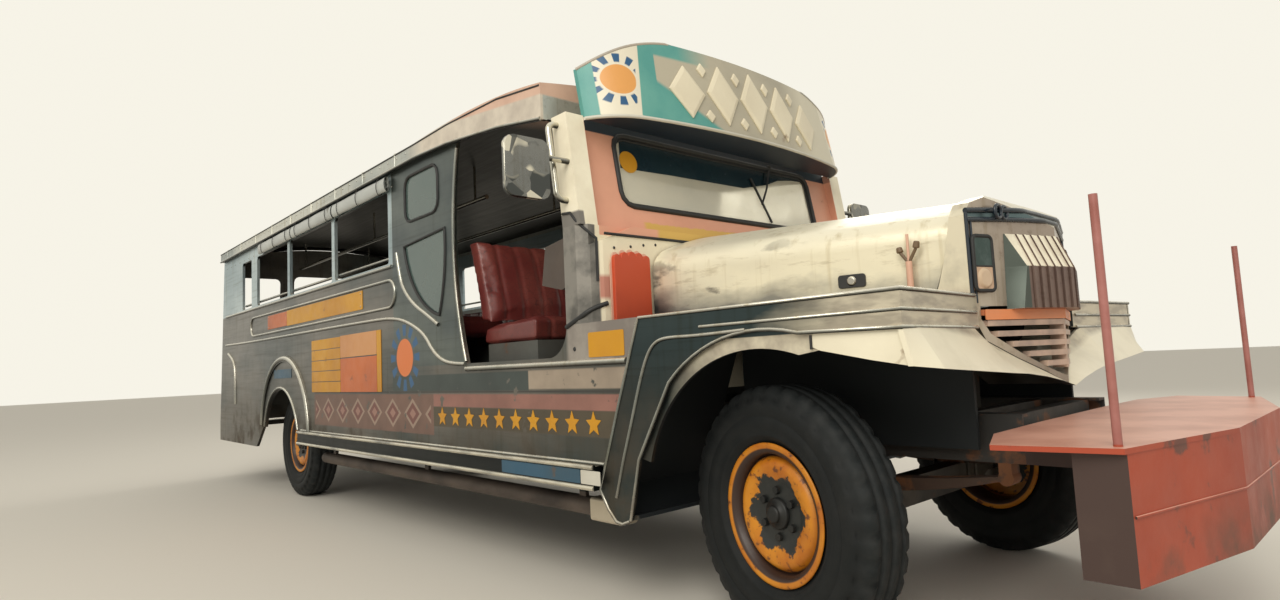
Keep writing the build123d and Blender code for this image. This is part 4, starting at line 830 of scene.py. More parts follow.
# Painted reflection: the flanks darken to grey below the crown, and to dark teal low at the rear.
wander = maths("MULTIPLY_ADD", cloud(3.0, 6, (0.7, 1, 1.4)), 0.34, height)
wander = maths("MULTIPLY_ADD", station, 0.085, wander)
cover(between(wander, 1.285, 1.200), mix(cloud(6), (0.20, 0.195, 0.17), (0.34, 0.32, 0.27)), 0.35, 0.6)
cover(times(between(wander, 1.210, 1.165), between(station, -0.05, -0.45)), (0.085, 0.10, 0.10), 0.3, 0.8)
soot = times(between(height, 1.30, 1.16), between(station, -0.02, -0.20))
cover(times(between(cloud(7, 7, (0.5, 1, 1)), 0.60, 0.66), soot), (0.13, 0.12, 0.10), 0.5, 0.5)
dress(hood_steel, "hood")
hood_taper = 0.2207
catch_station = 0.078
hood_rear_half = 0.615
catch_out = hood_rear_half - hood_taper * (catch_station + 0.692)
post_station = 0.272
hood_bronze = grimed_paint(
    "hood_bronze", (0.16, 0.10, 0.05), (0.10, 0.07, 0.045), (0.25, 0.17, 0.10), 0.45, 0.66)
hood_edge = [(-0.690, 0.6155, 1.0225), (0.376, 0.3795, 1.0225)]
pair("hood_edge", hood_edge, None, 0.0065, rubber_black, body="hood")
catch_face = rectangle(-0.046, -0.022, 0.046, 0.022, 0.010)
for hand, side in sides:
    flank = Vector((hood_taper, hand, 0)).normalized()
    along = Vector((1, -hand * hood_taper, 0)).normalized() * -hand
    place = at(catch_station, hand * catch_out, 1.090)
    catch = slab(f"hood_catch_{side}", catch_face, place, along, up, 0.006)
    fix(catch, rubber_black, "hood", 0.002)
    button = studs(f"catch_button_{side}", [place + flank * 0.006], flank, 0.017, 0.006, 20, 0.7)
    fix(button, bright_steel, "hood", 0.002)
    foot = at(post_station, hand * 0.432, 1.010)
    for name, rises, radius in (
        ("fender_post", (0, 0.055, 0.120), 0.010), ("post_needle", (0.118, 0.205), 0.0045),
    ):
        rod(f"{name}_{side}", [foot + up * rise for rise in rises], radius, salmon_trim)
    for name, lean, base, rise in (("rear_bud", -0.026, 0.150, 0.018), ("front_bud", 0.026, 0.158, 0.022)):
        head = foot + Vector((lean, 0, base))
        rod(f"{name}_stalk_{side}", [foot + up * 0.115, head], 0.005, hood_bronze)
        bud = studs(f"{name}_{side}", [head], Vector((lean * 8, 0, 1)).normalized(), 0.011, rise, 16, 0.8)
        fix(bud, hood_bronze, bevel=0.004, steps=3)


# Nose: the stainless prow. A doubled black moulding follows its brow and its cheeks, tied
# by a small bow.
nose_steel = stainless("nose_steel", (0.52, 0.45, 0.36), (0.34, 0.28, 0.23), (0.70, 0.65, 0.52), 0.3)
surface(Metallic=0.55)
station, out, height = whereabouts()
cover(strip(height, 1.243, 1.268), (0.10, 0.15, 0.16), 0.3, 0.7)
cheek = times(between(out, 0.384, 0.388), between(station, 0.4405, 0.4385), between(height, 0.99, 1.05))
cover(cheek, patchy((0.74, 0.68, 0.52), (0.50, 0.46, 0.36), 9, 0.4, 0.65), 0.35, 0.3)
dress(nose_steel, "grille_shell")
nose_black = grimed_paint(
    "nose_black", (0.012, 0.020, 0.030), (0.02, 0.03, 0.045), (0.06, 0.055, 0.05), 0.25, 0.7)
roll_station, roll_height, roll_radius = 0.2152, 0.9552, 0.4316
prow_edge = 0.440
prow_rise = 0.110
prow_half = 0.400


def on_prow(across, height, proud=0.0):
    face = prow_edge + prow_rise * (1 - abs(across) / prow_half)
    rolled = roll_station + math.sqrt(max(0, roll_radius ** 2 - (height - roll_height) ** 2))
    return at(min(face, rolled) + proud, across, height)


def circle(radius, count):
    return arc((0, 0), radius, 0, 360 - 360 / count, count - 1)


for name, foot, crest, radius in (("upper", 1.262, 1.276, 0.0085), ("lower", 1.234, 1.246, 0.0075)):
    shares = [step / 14 - 1 for step in range(29)]
    line = [on_prow(prow_half * u, foot + (crest - foot) * (1 - u * u), 0.003) for u in shares]
    rod(f"brow_moulding_{name}", line, radius, nose_black)
for hand, side in sides:
    for order, (inset, foot) in enumerate(((0.001, 0.960), (0.018, 0.985))):
        station = prow_edge + prow_rise * inset / prow_half + 0.003
        line = [at(station, hand * (prow_half - inset), z) for z in (1.256 - inset, foot)]
        rod(f"cheek_moulding_{side}_{order + 1}", line, 0.0055 - 0.0015 * order, nose_black)
for order, hand in enumerate((-1, 1)):
    knot = on_prow(-0.262, 1.262, 0.012)
    loop = [knot + Vector((0.002, hand * 0.0225 * (1 - u), 0.020 * v)) for u, v in circle(1, 16)]
    rod(f"bow_loop_{order + 1}", loop, 0.0055, nose_black, True)


# Lamps: stacked glass lenses in dark frames on the prow, a teal-grey one over an amber one,
# and round red ones at the rear corners.
lamp_glass = grimed_paint(
    "lamp_glass", (0.60, 0.42, 0.29), (0.50, 0.33, 0.21), (0.30, 0.20, 0.12), 0.16, 0.72)
surface(Coat_Weight=0.15, Specular_IOR_Level=0.3)
station, out, height = whereabouts()
cover(between(height, 1.093, 1.095), patchy((0.020, 0.048, 0.042), (0.06, 0.095, 0.09), 12, 0.45, 0.6), 0.3)
cover(between(station, -5.0, -5.1), (0.36, 0.022, 0.015), 0.2)
dress(lamp_glass, "lamps")
lens_cream = grimed_paint("lens_cream", (0.64, 0.49, 0.34), (0.52, 0.38, 0.25), (0.34, 0.24, 0.15), 0.2, 0.70)
for hand, side in sides:
    outward = Vector((prow_half, hand * prow_rise, 0)).normalized()
    along = up.cross(outward)
    face = at(0.4535, hand * 0.352, 1.103) + outward * 0.012
    frame_line = [face + along * u + up * v for u, v in rectangle(-0.041, -0.082, 0.041, 0.082, 0.014)]
    rod(f"lamp_frame_{side}", frame_line, 0.006, rubber_black, True)
    divider = [face + along * u + up * -0.009 for u in (-0.040, 0.040)]
    rod(f"lamp_divider_{side}", divider, 0.0035, rubber_black)
    sealed = studs(f"sealed_lamp_{side}", [face + up * -0.045], outward, 0.034, 0.008, 32, 0.72)
    fix(sealed, lens_cream, bevel=0.003, steps=3)
    ring = [on_rear(hand * 0.835 + u, 0.110 + v, 0.033) for u, v in circle(0.046, 24)]
    rod(f"rear_lamp_ring_{side}", ring, 0.005, bright_steel, True)


# Grille: a ribbed sheet box over a fan of six bars. The upward faces of the brow carry a
# painted cream sky reflection, the cheeks are teal-grey, the ribs are brown with dust, and
# the top bar is painted orange.
grille_metal = stainless(
    "grille_metal", (0.215, 0.150, 0.125), (0.135, 0.095, 0.085), (0.70, 0.64, 0.50), 0.32)
station, out, height = whereabouts()
cover(times(between(height, 0.9655, 0.967), between(out, 0.2055, 0.2085)), (0.070, 0.085, 0.072), 0.35, 0.6)
# Painted reflection: cream sky tone on the brow's upward faces.
brow = times(between(height, 1.092, 1.097), between(facing("Z"), 0.15, 0.30))
cover(brow, patchy((0.94, 0.88, 0.70), (0.76, 0.69, 0.54), 14, 0.4, 0.65), 0.35, 0.2)
top_bar = times(between(height, 0.9445, 0.9455), between(height, 0.9665, 0.9655))
cover(top_bar, patchy((0.56, 0.155, 0.050), (0.42, 0.17, 0.09), 11, 0.35, 0.65), 0.42)
lower_bars = patchy((0.58, 0.43, 0.34), (0.38, 0.29, 0.24), 11, 0.4, 0.65)
cover(between(height, 0.9445, 0.9440), lower_bars, 0.4, 0.3)
dress(grille_metal, "grille")
bar_orange = grimed_paint("bar_orange", (0.78, 0.27, 0.10), (0.66, 0.30, 0.16), (0.30, 0.13, 0.08), 0.4, 0.66)
bar_reach = 0.372
for hand, side in sides:
    along = Vector((-hand * prow_rise, prow_half, 0)).normalized()
    begin, end = sorted((0, hand * bar_reach))
    bar = rectangle(begin, 0.9345, end, 0.9655, 0.003)
    bar = slab(f"top_bar_face_{side}", bar, at(0.5570, 0, 0), along, up, 0.003)
    fix(bar, bar_orange)


# Fenders: stainless decks over the wheels. Their dark flanks carry a painted reflection that
# brightens them towards the nose and on the front faces, and the faces over the wheels and
# the undersides are painted near black as shade.
# Beads run along the deck, round the arch and down the boxed tail.
fender_steel = stainless(
    "fender_steel", (0.040, 0.058, 0.060), (0.024, 0.038, 0.041), (0.62, 0.57, 0.46), 0.3)
station, out, height = whereabouts()
# Painted reflection: the flanks brighten towards the nose, and the front faces too.
wave = maths("MULTIPLY_ADD", cloud(4.0, 4, (1, 1, 3)), 0.30, station)
bright = patchy((0.62, 0.56, 0.43), (0.40, 0.355, 0.28), 8, 0.42, 0.62, 5, (1, 1, 4))
cover(times(between(wave, 0.22, 0.50), between(out, 0.926, 0.928)), bright, 0.35, 0.5)
cover(times(between(facing("X"), 0.5, 0.7), between(height, 0.905, 0.912)), bright, 0.35, 0.5)
lip = times(between(out, 0.9255, 0.9235), between(station, -0.33, -0.10), between(height, 0.916, 0.9135))
cover(lip, patchy((0.70, 0.64, 0.49), (0.42, 0.37, 0.29), 9, 0.40, 0.62, 5), 0.4, 0.3)
# Painted shade: the inner faces over the wheel near black.
wheel_well_shade = times(between(out, 0.900, 0.890), between(station, 0.455, 0.445), between(height, 0.998, 0.994))
cover(wheel_well_shade, (0.008, 0.011, 0.013), 0.7)
valance = times(between(station, 0.478, 0.492), between(height, 0.915, 0.905))
cover(valance, patchy((0.88, 0.82, 0.64), (0.74, 0.68, 0.52), 5, 0.45, 0.70), 0.35, 0.2)
# Painted shade: downward faces near black.
cover(between(facing("Z"), -0.35, -0.55), (0.012, 0.014, 0.016), 0.6, 0.2)
dress(fender_steel, "fender_left", "fender_right")
fender_nose = 0.500
fender_side = 0.932
arch_edge = [(-0.520, 0.331), (-0.465, 0.537)]
arch_edge += three_point_arc((-0.305, 0.790), (-0.140, 0.894), (0.200, 0.917), 12)
arch_edge.append((fender_nose, 0.913))
inner_line = [
    (0.02, 0.936), (-0.170, 0.930), (-0.300, 0.933), (-0.360, 0.922), (-0.402, 0.880), (-0.440, 0.800),
    (-0.500, 0.640), (-0.556, 0.500), (-0.588, 0.400),
]
tail_edge = [
    (-0.524, 0.328), (-0.562, 0.314), (-0.594, 0.318), (-0.634, 0.356), (-0.677, 0.420), (-0.560, 0.710),
    (-0.440, 1.004),
]
for name, line, radius, rounded in (
    ("deck_bead", [(-0.436, 1.006), (fender_nose, 1.006)], 0.006, False),
    ("step_bead", [(-0.160, 0.957), (fender_nose, 0.957)], 0.0055, False),
    ("arch_lip", arch_edge, 0.006, False), ("flank_bead", inner_line, 0.0065, True),
    ("tail_bead", tail_edge, 0.006, False),
):
    course = [(u, fender_side, z) for u, z in line]
    if line[-1][0] == fender_nose:
        course.append((fender_nose - 0.043, 0.420, line[-1][1]))
    pair(name, course, None, radius, bright_steel, False, rounded)
pair("fender_seam", [(0.236, 0.908), (0.236, 0.870)], 0.926, 0.004, rubber_black)
valance_enamel = grimed_paint(
    "valance_enamel", (0.88, 0.82, 0.64), (0.76, 0.70, 0.54), (0.45, 0.37, 0.26), 0.38, 0.69)
valance_line = [
    (0.238, 0.912), (0.238, 0.876), (0.262, 0.866), (0.410, 0.836), (0.519, 0.8175), (0.499, 0.912),
]
side_slab("fender_skirt", valance_line, 0.922, 0.003, valance_enamel)


# Bumper: folded plate enamelled red. The upward faces of its top flange are painted salmon
# as the sky's reflection, and its lower end faces are painted dark as shade. Two thin poles
# at its ends show the driver how wide the nose is.
bumper_red = grimed_paint(
    "bumper_red", (0.40, 0.060, 0.022), (0.31, 0.052, 0.026), (0.14, 0.045, 0.03), 0.42, 0.61)
station, out, height = whereabouts()
# Painted reflection: upward faces salmon as the sky's reflection.
cover(between(facing("Z"), 0.6, 0.8), patchy((0.66, 0.35, 0.26), (0.52, 0.25, 0.18), 6, 0.4, 0.66), 0.42)
cover(between(height, 0.636, 0.640), patchy((0.40, 0.16, 0.14), (0.30, 0.10, 0.08), 9, 0.4, 0.66), 0.4)
# Painted shade: the lower end faces dark.
shaded_end_faces = between(maths("ABSOLUTE", facing("Y")), 0.80, 0.90)
cover(times(shaded_end_faces, between(height, 0.622, 0.618)), (0.055, 0.030, 0.024), 0.6)
cover(times(between(height, 0.50, 0.36), between(cloud(6, 6), 0.42, 0.66)), (0.11, 0.075, 0.055), 0.7)
dress(bumper_red, "front_bumper")
crease = [at(u, y, 0.492) for u, y in ((0.905, -0.795), (1.013, -0.310), (1.013, 0.310), (0.905, 0.795))]
rod("bumper_crease", crease, 0.003, bumper_red)


# Running boards: a box step with two polished beads and a recess between them whose steel is
# painted near black as shade, over a side tube that has rusted brown behind its bright end
# block.
# Painted shade: the board's steel is near black as the shade in its recess; the beads stay polished.
board_steel = stainless(
    "board_steel", (0.016, 0.020, 0.020), (0.010, 0.013, 0.014), (0.50, 0.46, 0.38), 0.42, (0.10, 0.36))
station, out, height = whereabouts()
polished = patchy((0.66, 0.62, 0.51), (0.26, 0.25, 0.22), 5, 0.42, 0.66, 5, (1, 1, 5))
cover(between(out, 0.9568, 0.9578), polished, 0.25, 0.8)
tube = between(height, 0.372, 0.366)
cover(tube, patchy((0.115, 0.088, 0.070), (0.045, 0.034, 0.028), 5, 0.40, 0.64, 6, (0.6, 1, 1)), 0.65, 0.2)
end_block = mix(cloud(8), (0.62, 0.55, 0.42), (0.42, 0.36, 0.27))
cover(times(tube, between(station, -0.856, -0.853)), end_block, 0.4, 0.4)
dress(board_steel, "running_boards")
board_side = 0.955
for name, left, right_end, material in (
    ("board_plate", -1.290, -0.760, sign_blue), ("board_plate_end", -0.756, -0.645, plate_white),
):
    plate = rectangle(left, 0.4365, right_end, 0.4855, 0.004)
    side_slab(name, plate, board_side, 0.002, material)
tread_top = 0.5005
tread_inner = 0.862
tread_pitch = 0.021
for hand, side in sides:
    for row in range(4):
        tread = [at(u, hand * (tread_inner + tread_pitch * row), tread_top) for u in (-3.90, -0.69)]
        rod(f"board_tread_{side}_{row + 1}", tread, 0.0045, board_steel)
step_rows = 6
step_pitch = 0.020
for row in range(step_rows):
    tread = [at(-6.325 + step_pitch * row, y, 0.480) for y in (-0.60, 0.60)]
    rod(f"step_tread_{row + 1}", tread, 0.004, bright_steel)


# Handrails and mirrors: bent chromed tube with a cream sky reflection painted on, and
# round-cornered mirrors on arms, whose pressed chromed backs carry painted pale and dark
# reflections in patches.
chrome = stainless("chrome", (0.50, 0.48, 0.41), (0.30, 0.30, 0.27), (0.85, 0.81, 0.68), 0.16, waves=0.1)
dress(chrome, "handrails")
mirror_back = stainless(
    "mirror_back", (0.215, 0.215, 0.20), (0.155, 0.160, 0.152), (0.55, 0.52, 0.44), 0.26, waves=0.1)


def cells(scale, randomness=1.0, **settings):
    values = {"Vector": node("TexCoord").outputs["Object"], "Scale": scale, "Randomness": randomness}
    return node("TexVoronoi", values, **settings).outputs


# Painted reflection: pale and dark patches on the mirror backs.
hue = node("SeparateColor", {"Color": cells(19.0, 0.8)["Color"]}).outputs
region = between(cloud(6.0, 2), 0.38, 0.44)
cover(times(region, between(hue[0], 0.66, 0.70)), (0.66, 0.62, 0.50), 0.3, 0.4)
cover(times(region, between(hue[1], 0.76, 0.80)), (0.060, 0.065, 0.062), 0.3, 0.6)
dress(mirror_back, "mirrors")
mirror_glass = stainless(
    "mirror_glass", (0.30, 0.33, 0.34), (0.22, 0.25, 0.26), (0.4, 0.42, 0.42), 0.16, waves=0.02)
mirror_out = 1.112
mirror_height = 1.578
glass_face = rectangle(-0.084, -0.102, 0.084, 0.102, 0.030)
mirror_rim = rectangle(-0.090, -0.108, 0.090, 0.108, 0.034)
pair("mirror_rim", [(-0.802, mirror_out + u, mirror_height + v) for u, v in mirror_rim], None, 0.005,
     chrome, True)
for hand, side in sides:
    place = at(-0.8155, hand * mirror_out, mirror_height)
    glass = slab(f"mirror_glass_{side}", glass_face, place, Vector((0, -1, 0)), up, 0.0015)
    fix(glass, mirror_glass)


# Dashboard: a folded steel shelf with three round gauges, a row of switches, and below it
# the pedals and the gear lever on the floor.
dash_brown = grimed_paint(
    "dash_brown", (0.085, 0.060, 0.045), (0.060, 0.046, 0.038), (0.12, 0.10, 0.08), 0.5, 0.7)
dress(dash_brown, "dashboard")
dash_low, dash_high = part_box("dashboard")
gauge_face = grimed_paint(
    "gauge_face", (0.015, 0.016, 0.017), (0.022, 0.022, 0.022), (0.05, 0.05, 0.045), 0.3, 0.72)
gauge_height = (dash_low.z + dash_high.z) / 2
rearward = Vector((-1, 0, 0))
for order, (left, size) in enumerate(((0.30, 0.036), (0.42, 0.046), (0.54, 0.036))):
    place = Vector((dash_low.x, left, gauge_height))
    fix(studs(f"gauge_{order + 1}", [place], rearward, size, 0.006, 32, 0.94), gauge_face)
    ring = [place + Vector((-0.006, u, v)) for u, v in circle(size, 32)]
    rod(f"gauge_ring_{order + 1}", ring, 0.003, chrome, True)
    pin = place + rearward * 0.008
    tip = pin + Vector((0, math.cos(2.3 - order), math.sin(2.3 - order))) * 0.7 * size
    rod(f"gauge_needle_{order + 1}", [pin, tip], 0.0012, sign_orange)
switches = [Vector((dash_low.x, 0.12 - 0.05 * order, gauge_height)) for order in range(5)]
switches = studs("dash_switches", switches, rearward, 0.011, 0.016, 16, 0.75)
fix(switches, rubber_black, bevel=0.0015)
pad_face = rectangle(-0.032, -0.040, 0.032, 0.040, 0.008)
for order, left in enumerate((0.50, 0.40, 0.29)):
    arm = [at(-0.735, left, 0.98), at(-0.80, left, 0.92), at(-0.835, left, 0.865)]
    rod(f"pedal_arm_{order + 1}", arm, 0.007, oily_iron, False, True)
    place = at(-0.838, left, 0.862)
    pad = slab(f"pedal_pad_{order + 1}", pad_face, place, Vector((0, -1, 0)), Vector((0.5, 0, 0.866)), 0.010)
    fix(pad, rubber_black, bevel=0.002)
lever = [at(-0.98, 0.06, 0.742), at(-1.00, 0.07, 0.93), at(-1.04, 0.09, 1.10)]
rod("gear_lever", lever, 0.008, chrome, False, True)
knob_up = Vector((-0.2, 0.1, 0.97)).normalized()
knob = studs("gear_knob", [at(-1.04, 0.09, 1.095)], knob_up, 0.022, 0.040, 20, 0.8)
fix(knob, rubber_black, bevel=0.008, steps=4)


# Steering wheel: black moulded rim on three spokes, with a round horn button on the hub.
black_plastic = grimed_paint(
    "black_plastic", (0.014, 0.014, 0.014), (0.024, 0.023, 0.022), (0.05, 0.045, 0.04), 0.4, 0.7)
dress(black_plastic, "steering_wheel")


# Seats: foam pads on plywood, covered in oxblood vinyl and sewn into upright rolls. The
# front bench lies on its box, and the long benches face each other along the cabin.
def settle(part):
    bpy.context.view_layer.update()
    graph = bpy.context.evaluated_depsgraph_get()
    mesh = bpy.data.meshes.new_from_object(part.evaluated_get(graph))
    part.modifiers.clear()
    part.data = mesh


def stuff(pad, voxel, reach):
    grid = pad.modifiers.new("even_mesh", "REMESH")
    grid.mode = "VOXEL"
    grid.voxel_size = voxel
    settle(pad)
    pad.data.shade_smooth()
    rest = [vertex.co.copy() for vertex in pad.data.vertices]
    cloth = pad.modifiers.new("stuffing", "CLOTH")
    cloth.settings.use_pressure = True
    cloth.settings.uniform_pressure_force = 4
    cloth.settings.effector_weights.gravity = 0
    for moment in range(1, 21):
        scene.frame_set(moment)
    settle(pad)
    scene.frame_set(1)
    for vertex, home in zip(pad.data.vertices, rest):
        swell = vertex.co - home
        if swell.length > reach:
            vertex.co = home + swell * (reach / swell.length)


def sew(pad, axis, begin, pitch, depth, width):
    for vertex in pad.data.vertices:
        offset = (vertex.co[axis] - begin) % pitch
        offset = min(offset, pitch - offset)
        vertex.co -= vertex.normal * depth * math.exp(-(offset / width) ** 2)


def pad_out(pad):
    fix(pad, vinyl_red)


vinyl_red = blank("vinyl_red")
crease = between(cells(38.0, feature="DISTANCE_TO_EDGE")["Distance"], 0.0, 0.035)
tone = patchy((0.13, 0.020, 0.018), (0.20, 0.050, 0.038), 3.5, 0.42, 0.68, 5)
surface(Base_Color=mix(crease, (0.07, 0.020, 0.018), tone), Roughness=0.42, Coat_Weight=0.15)
dent(crease, 0.25, 0.0008)
seat_low, seat_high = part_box("front_seat")
seat_half = seat_high.y - 0.012
cushion_profile = [
    (seat_low.x + 0.140, seat_low.z + 0.006), (seat_high.x - 0.024, seat_low.z + 0.006),
    (seat_high.x - 0.018, seat_low.z + 0.092), (seat_low.x + 0.150, seat_low.z + 0.072),
]
squab_profile = [
    (seat_low.x + 0.134, seat_low.z + 0.105), (seat_low.x + 0.214, seat_low.z + 0.092),
    (seat_low.x + 0.094, seat_high.z - 0.022), (seat_low.x + 0.024, seat_high.z - 0.028),
]
for name, profile in (("front_cushion", cushion_profile), ("front_squab", squab_profile)):
    pad = slab(name, profile, Vector((0, seat_half, 0)), Vector((1, 0, 0)), up, 2 * seat_half)
    stuff(pad, 0.013, 0.020)
    sew(pad, 1, -seat_half, seat_half / 8, 0.009, 0.009)
    finer = pad.modifiers.new("finer", "SUBSURF")
    finer.levels = finer.render_levels = 1
    pad_out(pad)
    if name == "front_cushion":
        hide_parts("front_seat")

bench_low, bench_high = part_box("benches")
bench_count = 4
bench_pitch = (bench_high.x - bench_low.x) / bench_count
bench_inner = 0.515
bench_deck = bench_low.z + 0.100
seat_pad_profile = [
    (bench_inner, bench_low.z + 0.008), (bench_high.y - 0.090, bench_low.z + 0.008),
    (bench_high.y - 0.090, bench_deck - 0.014), (bench_inner, bench_deck - 0.018),
]
back_pad_profile = [
    (bench_high.y - 0.074, bench_low.z + 0.016), (bench_high.y - 0.012, bench_low.z + 0.016),
    (bench_high.y - 0.012, bench_high.z - 0.012), (bench_high.y - 0.052, bench_high.z - 0.012),
]
for part, profile, reach in (("seat", seat_pad_profile, 0.018), ("back", back_pad_profile, 0.010)):
    begin = Vector((bench_low.x + 0.010, 0, 0))
    pattern = slab(f"bench_{part}_pattern", profile, begin, to_left, up, bench_pitch - 0.020)
    stuff(pattern, 0.014, reach)
    sew(pattern, 0, bench_low.x, bench_pitch / 6, 0.007, 0.010)
    for hand, side in sides:
        for bay in range(bench_count):
            pad = stand(f"bench_{part}_{side}_{bay + 1}", pattern.data.copy())
            pad.data.transform(Matrix.Translation((bay * bench_pitch, 0, 0)))
            if hand < 0:
                pad.data.transform(Matrix.Diagonal((1, -1, 1, 1)))
                pad.data.flip_normals()
            pad_out(pad)
            if bay == 0 and hand < 0 and part == "seat":
                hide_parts("benches")
    bpy.data.objects.remove(pattern)


# Weather curtains: clear plastic sheet gone grey, rolled up under the gutter on each side
# and tied with short webbing straps.
def sheet_of(name, points, faces):
    mesh = bpy.data.meshes.new(name)
    mesh.from_pydata(points, [], faces)
    mesh.shade_smooth()
    return stand(name, mesh)


curtain_grey = grimed_paint(
    "curtain_grey", (0.50, 0.52, 0.49), (0.40, 0.42, 0.40), (0.2, 0.19, 0.16), 0.35, 0.68)
webbing_black = grimed_paint(
    "webbing_black", (0.03, 0.03, 0.03), (0.06, 0.055, 0.05), (0.1, 0.09, 0.08), 0.8, 0.7)
curtain_low, curtain_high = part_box("curtain_rolls")
roll_turns = 3
roll_points = 30
roll_half = 0.0195
roll_height = 0.046
roll_heart = 0.35
roll_bays = 3
roll_out = curtain_high.y - roll_half - 0.001
roll_middle = (curtain_low.z + curtain_high.z) / 2


def curtain_roll(name, begin, end, hand):
    stations = 24
    ring = []
    for step in range(roll_turns * roll_points + 1):
        angle = 2 * math.pi * step / roll_points
        grow = roll_heart + (0.985 - roll_heart) * step / (roll_turns * roll_points)
        ring.append((grow * roll_half * math.cos(angle), grow * roll_height * math.sin(angle)))
    points = []
    for station in range(stations + 1):
        share = station / stations
        sag = 0.985 - 0.07 * abs(math.sin(math.pi * 3 * share)) * (0.5 + 0.5 * math.sin(9 * share + begin))
        place = begin + (end - begin) * share
        points += [(place, hand * roll_out + y * sag, roll_middle + z * sag) for y, z in ring]
    row = len(ring)
    faces = [
        (low + step, low + step + 1, low + row + step + 1, low + row + step)
        for low in range(0, stations * row, row) for step in range(row - 1)
    ]
    drop = sum(math.dist(before, after) for before, after in zip(ring, ring[1:]))
    return sheet_of(name, points, faces), drop


bay_length = (curtain_high.x - curtain_low.x) / roll_bays
for hand, side in sides:
    for bay in range(roll_bays):
        begin = curtain_low.x + bay * bay_length + 0.01
        end = begin + bay_length - 0.02
        roll, drop = curtain_roll(f"curtain_{side}_{bay + 1}", begin, end, hand)
        fix(roll, curtain_grey)
        if bay == 0 and hand < 0:
            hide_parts("curtain_rolls")
        for order, share in enumerate((0.12, 0.5, 0.88)):
            middle = Vector((begin + (end - begin) * share, hand * roll_out, roll_middle))
            loop = [middle + Vector((0, 0.0205 * u, 0.0475 * v)) for u, v in circle(1, 20)]
            name = f"curtain_strap_{side}_{bay + 1}_{order + 1}"
            rod(name, loop, 0.002, webbing_black, True)


# Tyres: black bias-ply truck rubber, worn smooth on the crown, with three grooves round it
# and block lugs on the shoulders. They sit on the rims under air and turn with them.
def spun(name, profile, count, relief=lambda radius, height, step: 0):
    rows = len(profile)
    points = []
    faces = []
    for step in range(count):
        angle = 2 * math.pi * step / count
        for radius, height in profile:
            reach = radius + relief(radius, height, step)
            points.append((reach * math.cos(angle), reach * math.sin(angle), height))
        here, after = step * rows, (step + 1) % count * rows
        faces += [(here + row, after + row, after + row + 1, here + row + 1) for row in range(rows - 1)]
    return sheet_of(name, points, faces)


def shoulder_lugs(radius, height, step):
    shoulder = abs(height) > 0.05 and radius > 0.345
    return -lug_depth if shoulder and step % lug_steps == 0 else 0


tyre_steps = 144
lug_steps = 4
lug_depth = 0.009
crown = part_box("tyre_rear_right")[1].z / 2
groove = crown - 0.009
tyre_side = [
    # radius, distance from the middle of the tread
    (0.206, 0.060), (0.218, 0.066), (0.232, 0.083), (0.240, 0.0875), (0.244, 0.0855), (0.262, 0.0925),
    (0.290, 0.095), (0.294, 0.092), (0.298, 0.0945), (0.322, 0.0945), (0.342, 0.0915), (0.346, 0.0885),
    (0.362, 0.0835), (0.374, 0.076), (0.382, 0.066), (crown - 0.0008, 0.056), (crown, 0.045), (groove, 0.043),
    (groove, 0.035), (crown, 0.033), (crown, 0.006), (groove, 0.004),
]
tyre_profile = tyre_side + [(radius, -height) for radius, height in reversed(tyre_side)]
tyre_black = blank("tyre_black")
x, y, z = spot()
tread_dust = between(around(x, y)[0], 0.345, 0.384)
dusty = patchy((0.0045, 0.0060, 0.0065), (0.010, 0.011, 0.011), 11, 0.42, 0.7, 5)
dustier = patchy((0.008, 0.011, 0.012), (0.022, 0.024, 0.024), 26, 0.35, 0.7, 5)
surface(Base_Color=mix(tread_dust, dusty, dustier), Roughness=0.68, Specular_IOR_Level=0.3)
dent(cloud(130, 4), 0.3, 0.001)


# Wheels: pressed steel discs riveted into flanged rims, brushed with orange-yellow enamel
# that stops raggedly in six dark lobes round the black hub and its six nuts. The well between
# the disc and the flange is painted dark as shade.
rim_flange = 0.213
rim_half = 0.075
rim_profile = [
    # radius, distance outwards from the middle of the tyre
    (0.184, -0.070), (0.207, -0.070), (rim_flange, -0.0725), (0.2105, -rim_half), (0.178, -rim_half),
    (0.178, -0.02), (0.170, 0.0), (0.170, 0.030), (0.178, 0.040), (0.180, 0.066), (0.196, 0.0735),
    (0.207, rim_half), (0.2125, 0.0738), (rim_flange, 0.0712), (0.210, 0.0675), (0.200, 0.066),
]
disc_profile = [
    (0.038, 0.034), (0.092, 0.034), (0.140, 0.050), (0.178, 0.018), (0.1795, 0.030), (0.1765, 0.036),
    (0.168, 0.043), (0.160, 0.055), (0.150, 0.0615), (0.140, 0.0620), (0.116, 0.0565), (0.100, 0.049),
    (0.090, 0.0465), (0.050, 0.0465), (0.038, 0.0465), (0.038, 0.034),
]
hub_profile = [
    (0.0, 0.0765), (0.020, 0.076), (0.0245, 0.074), (0.026, 0.069), (0.026, 0.063), (0.0435, 0.060),
    (0.047, 0.056), (0.047, 0.046),
]
nut_circle = 0.069
nut_size = 0.0135
nut_rise = 0.013
nut_seat = 0.046
nut_count = 6
lobe_reach = 0.112
lobe_depth = 0.011

wheel_yellow = blank("wheel_yellow")
x, y, z = spot()
reach, angle = around(x, y)
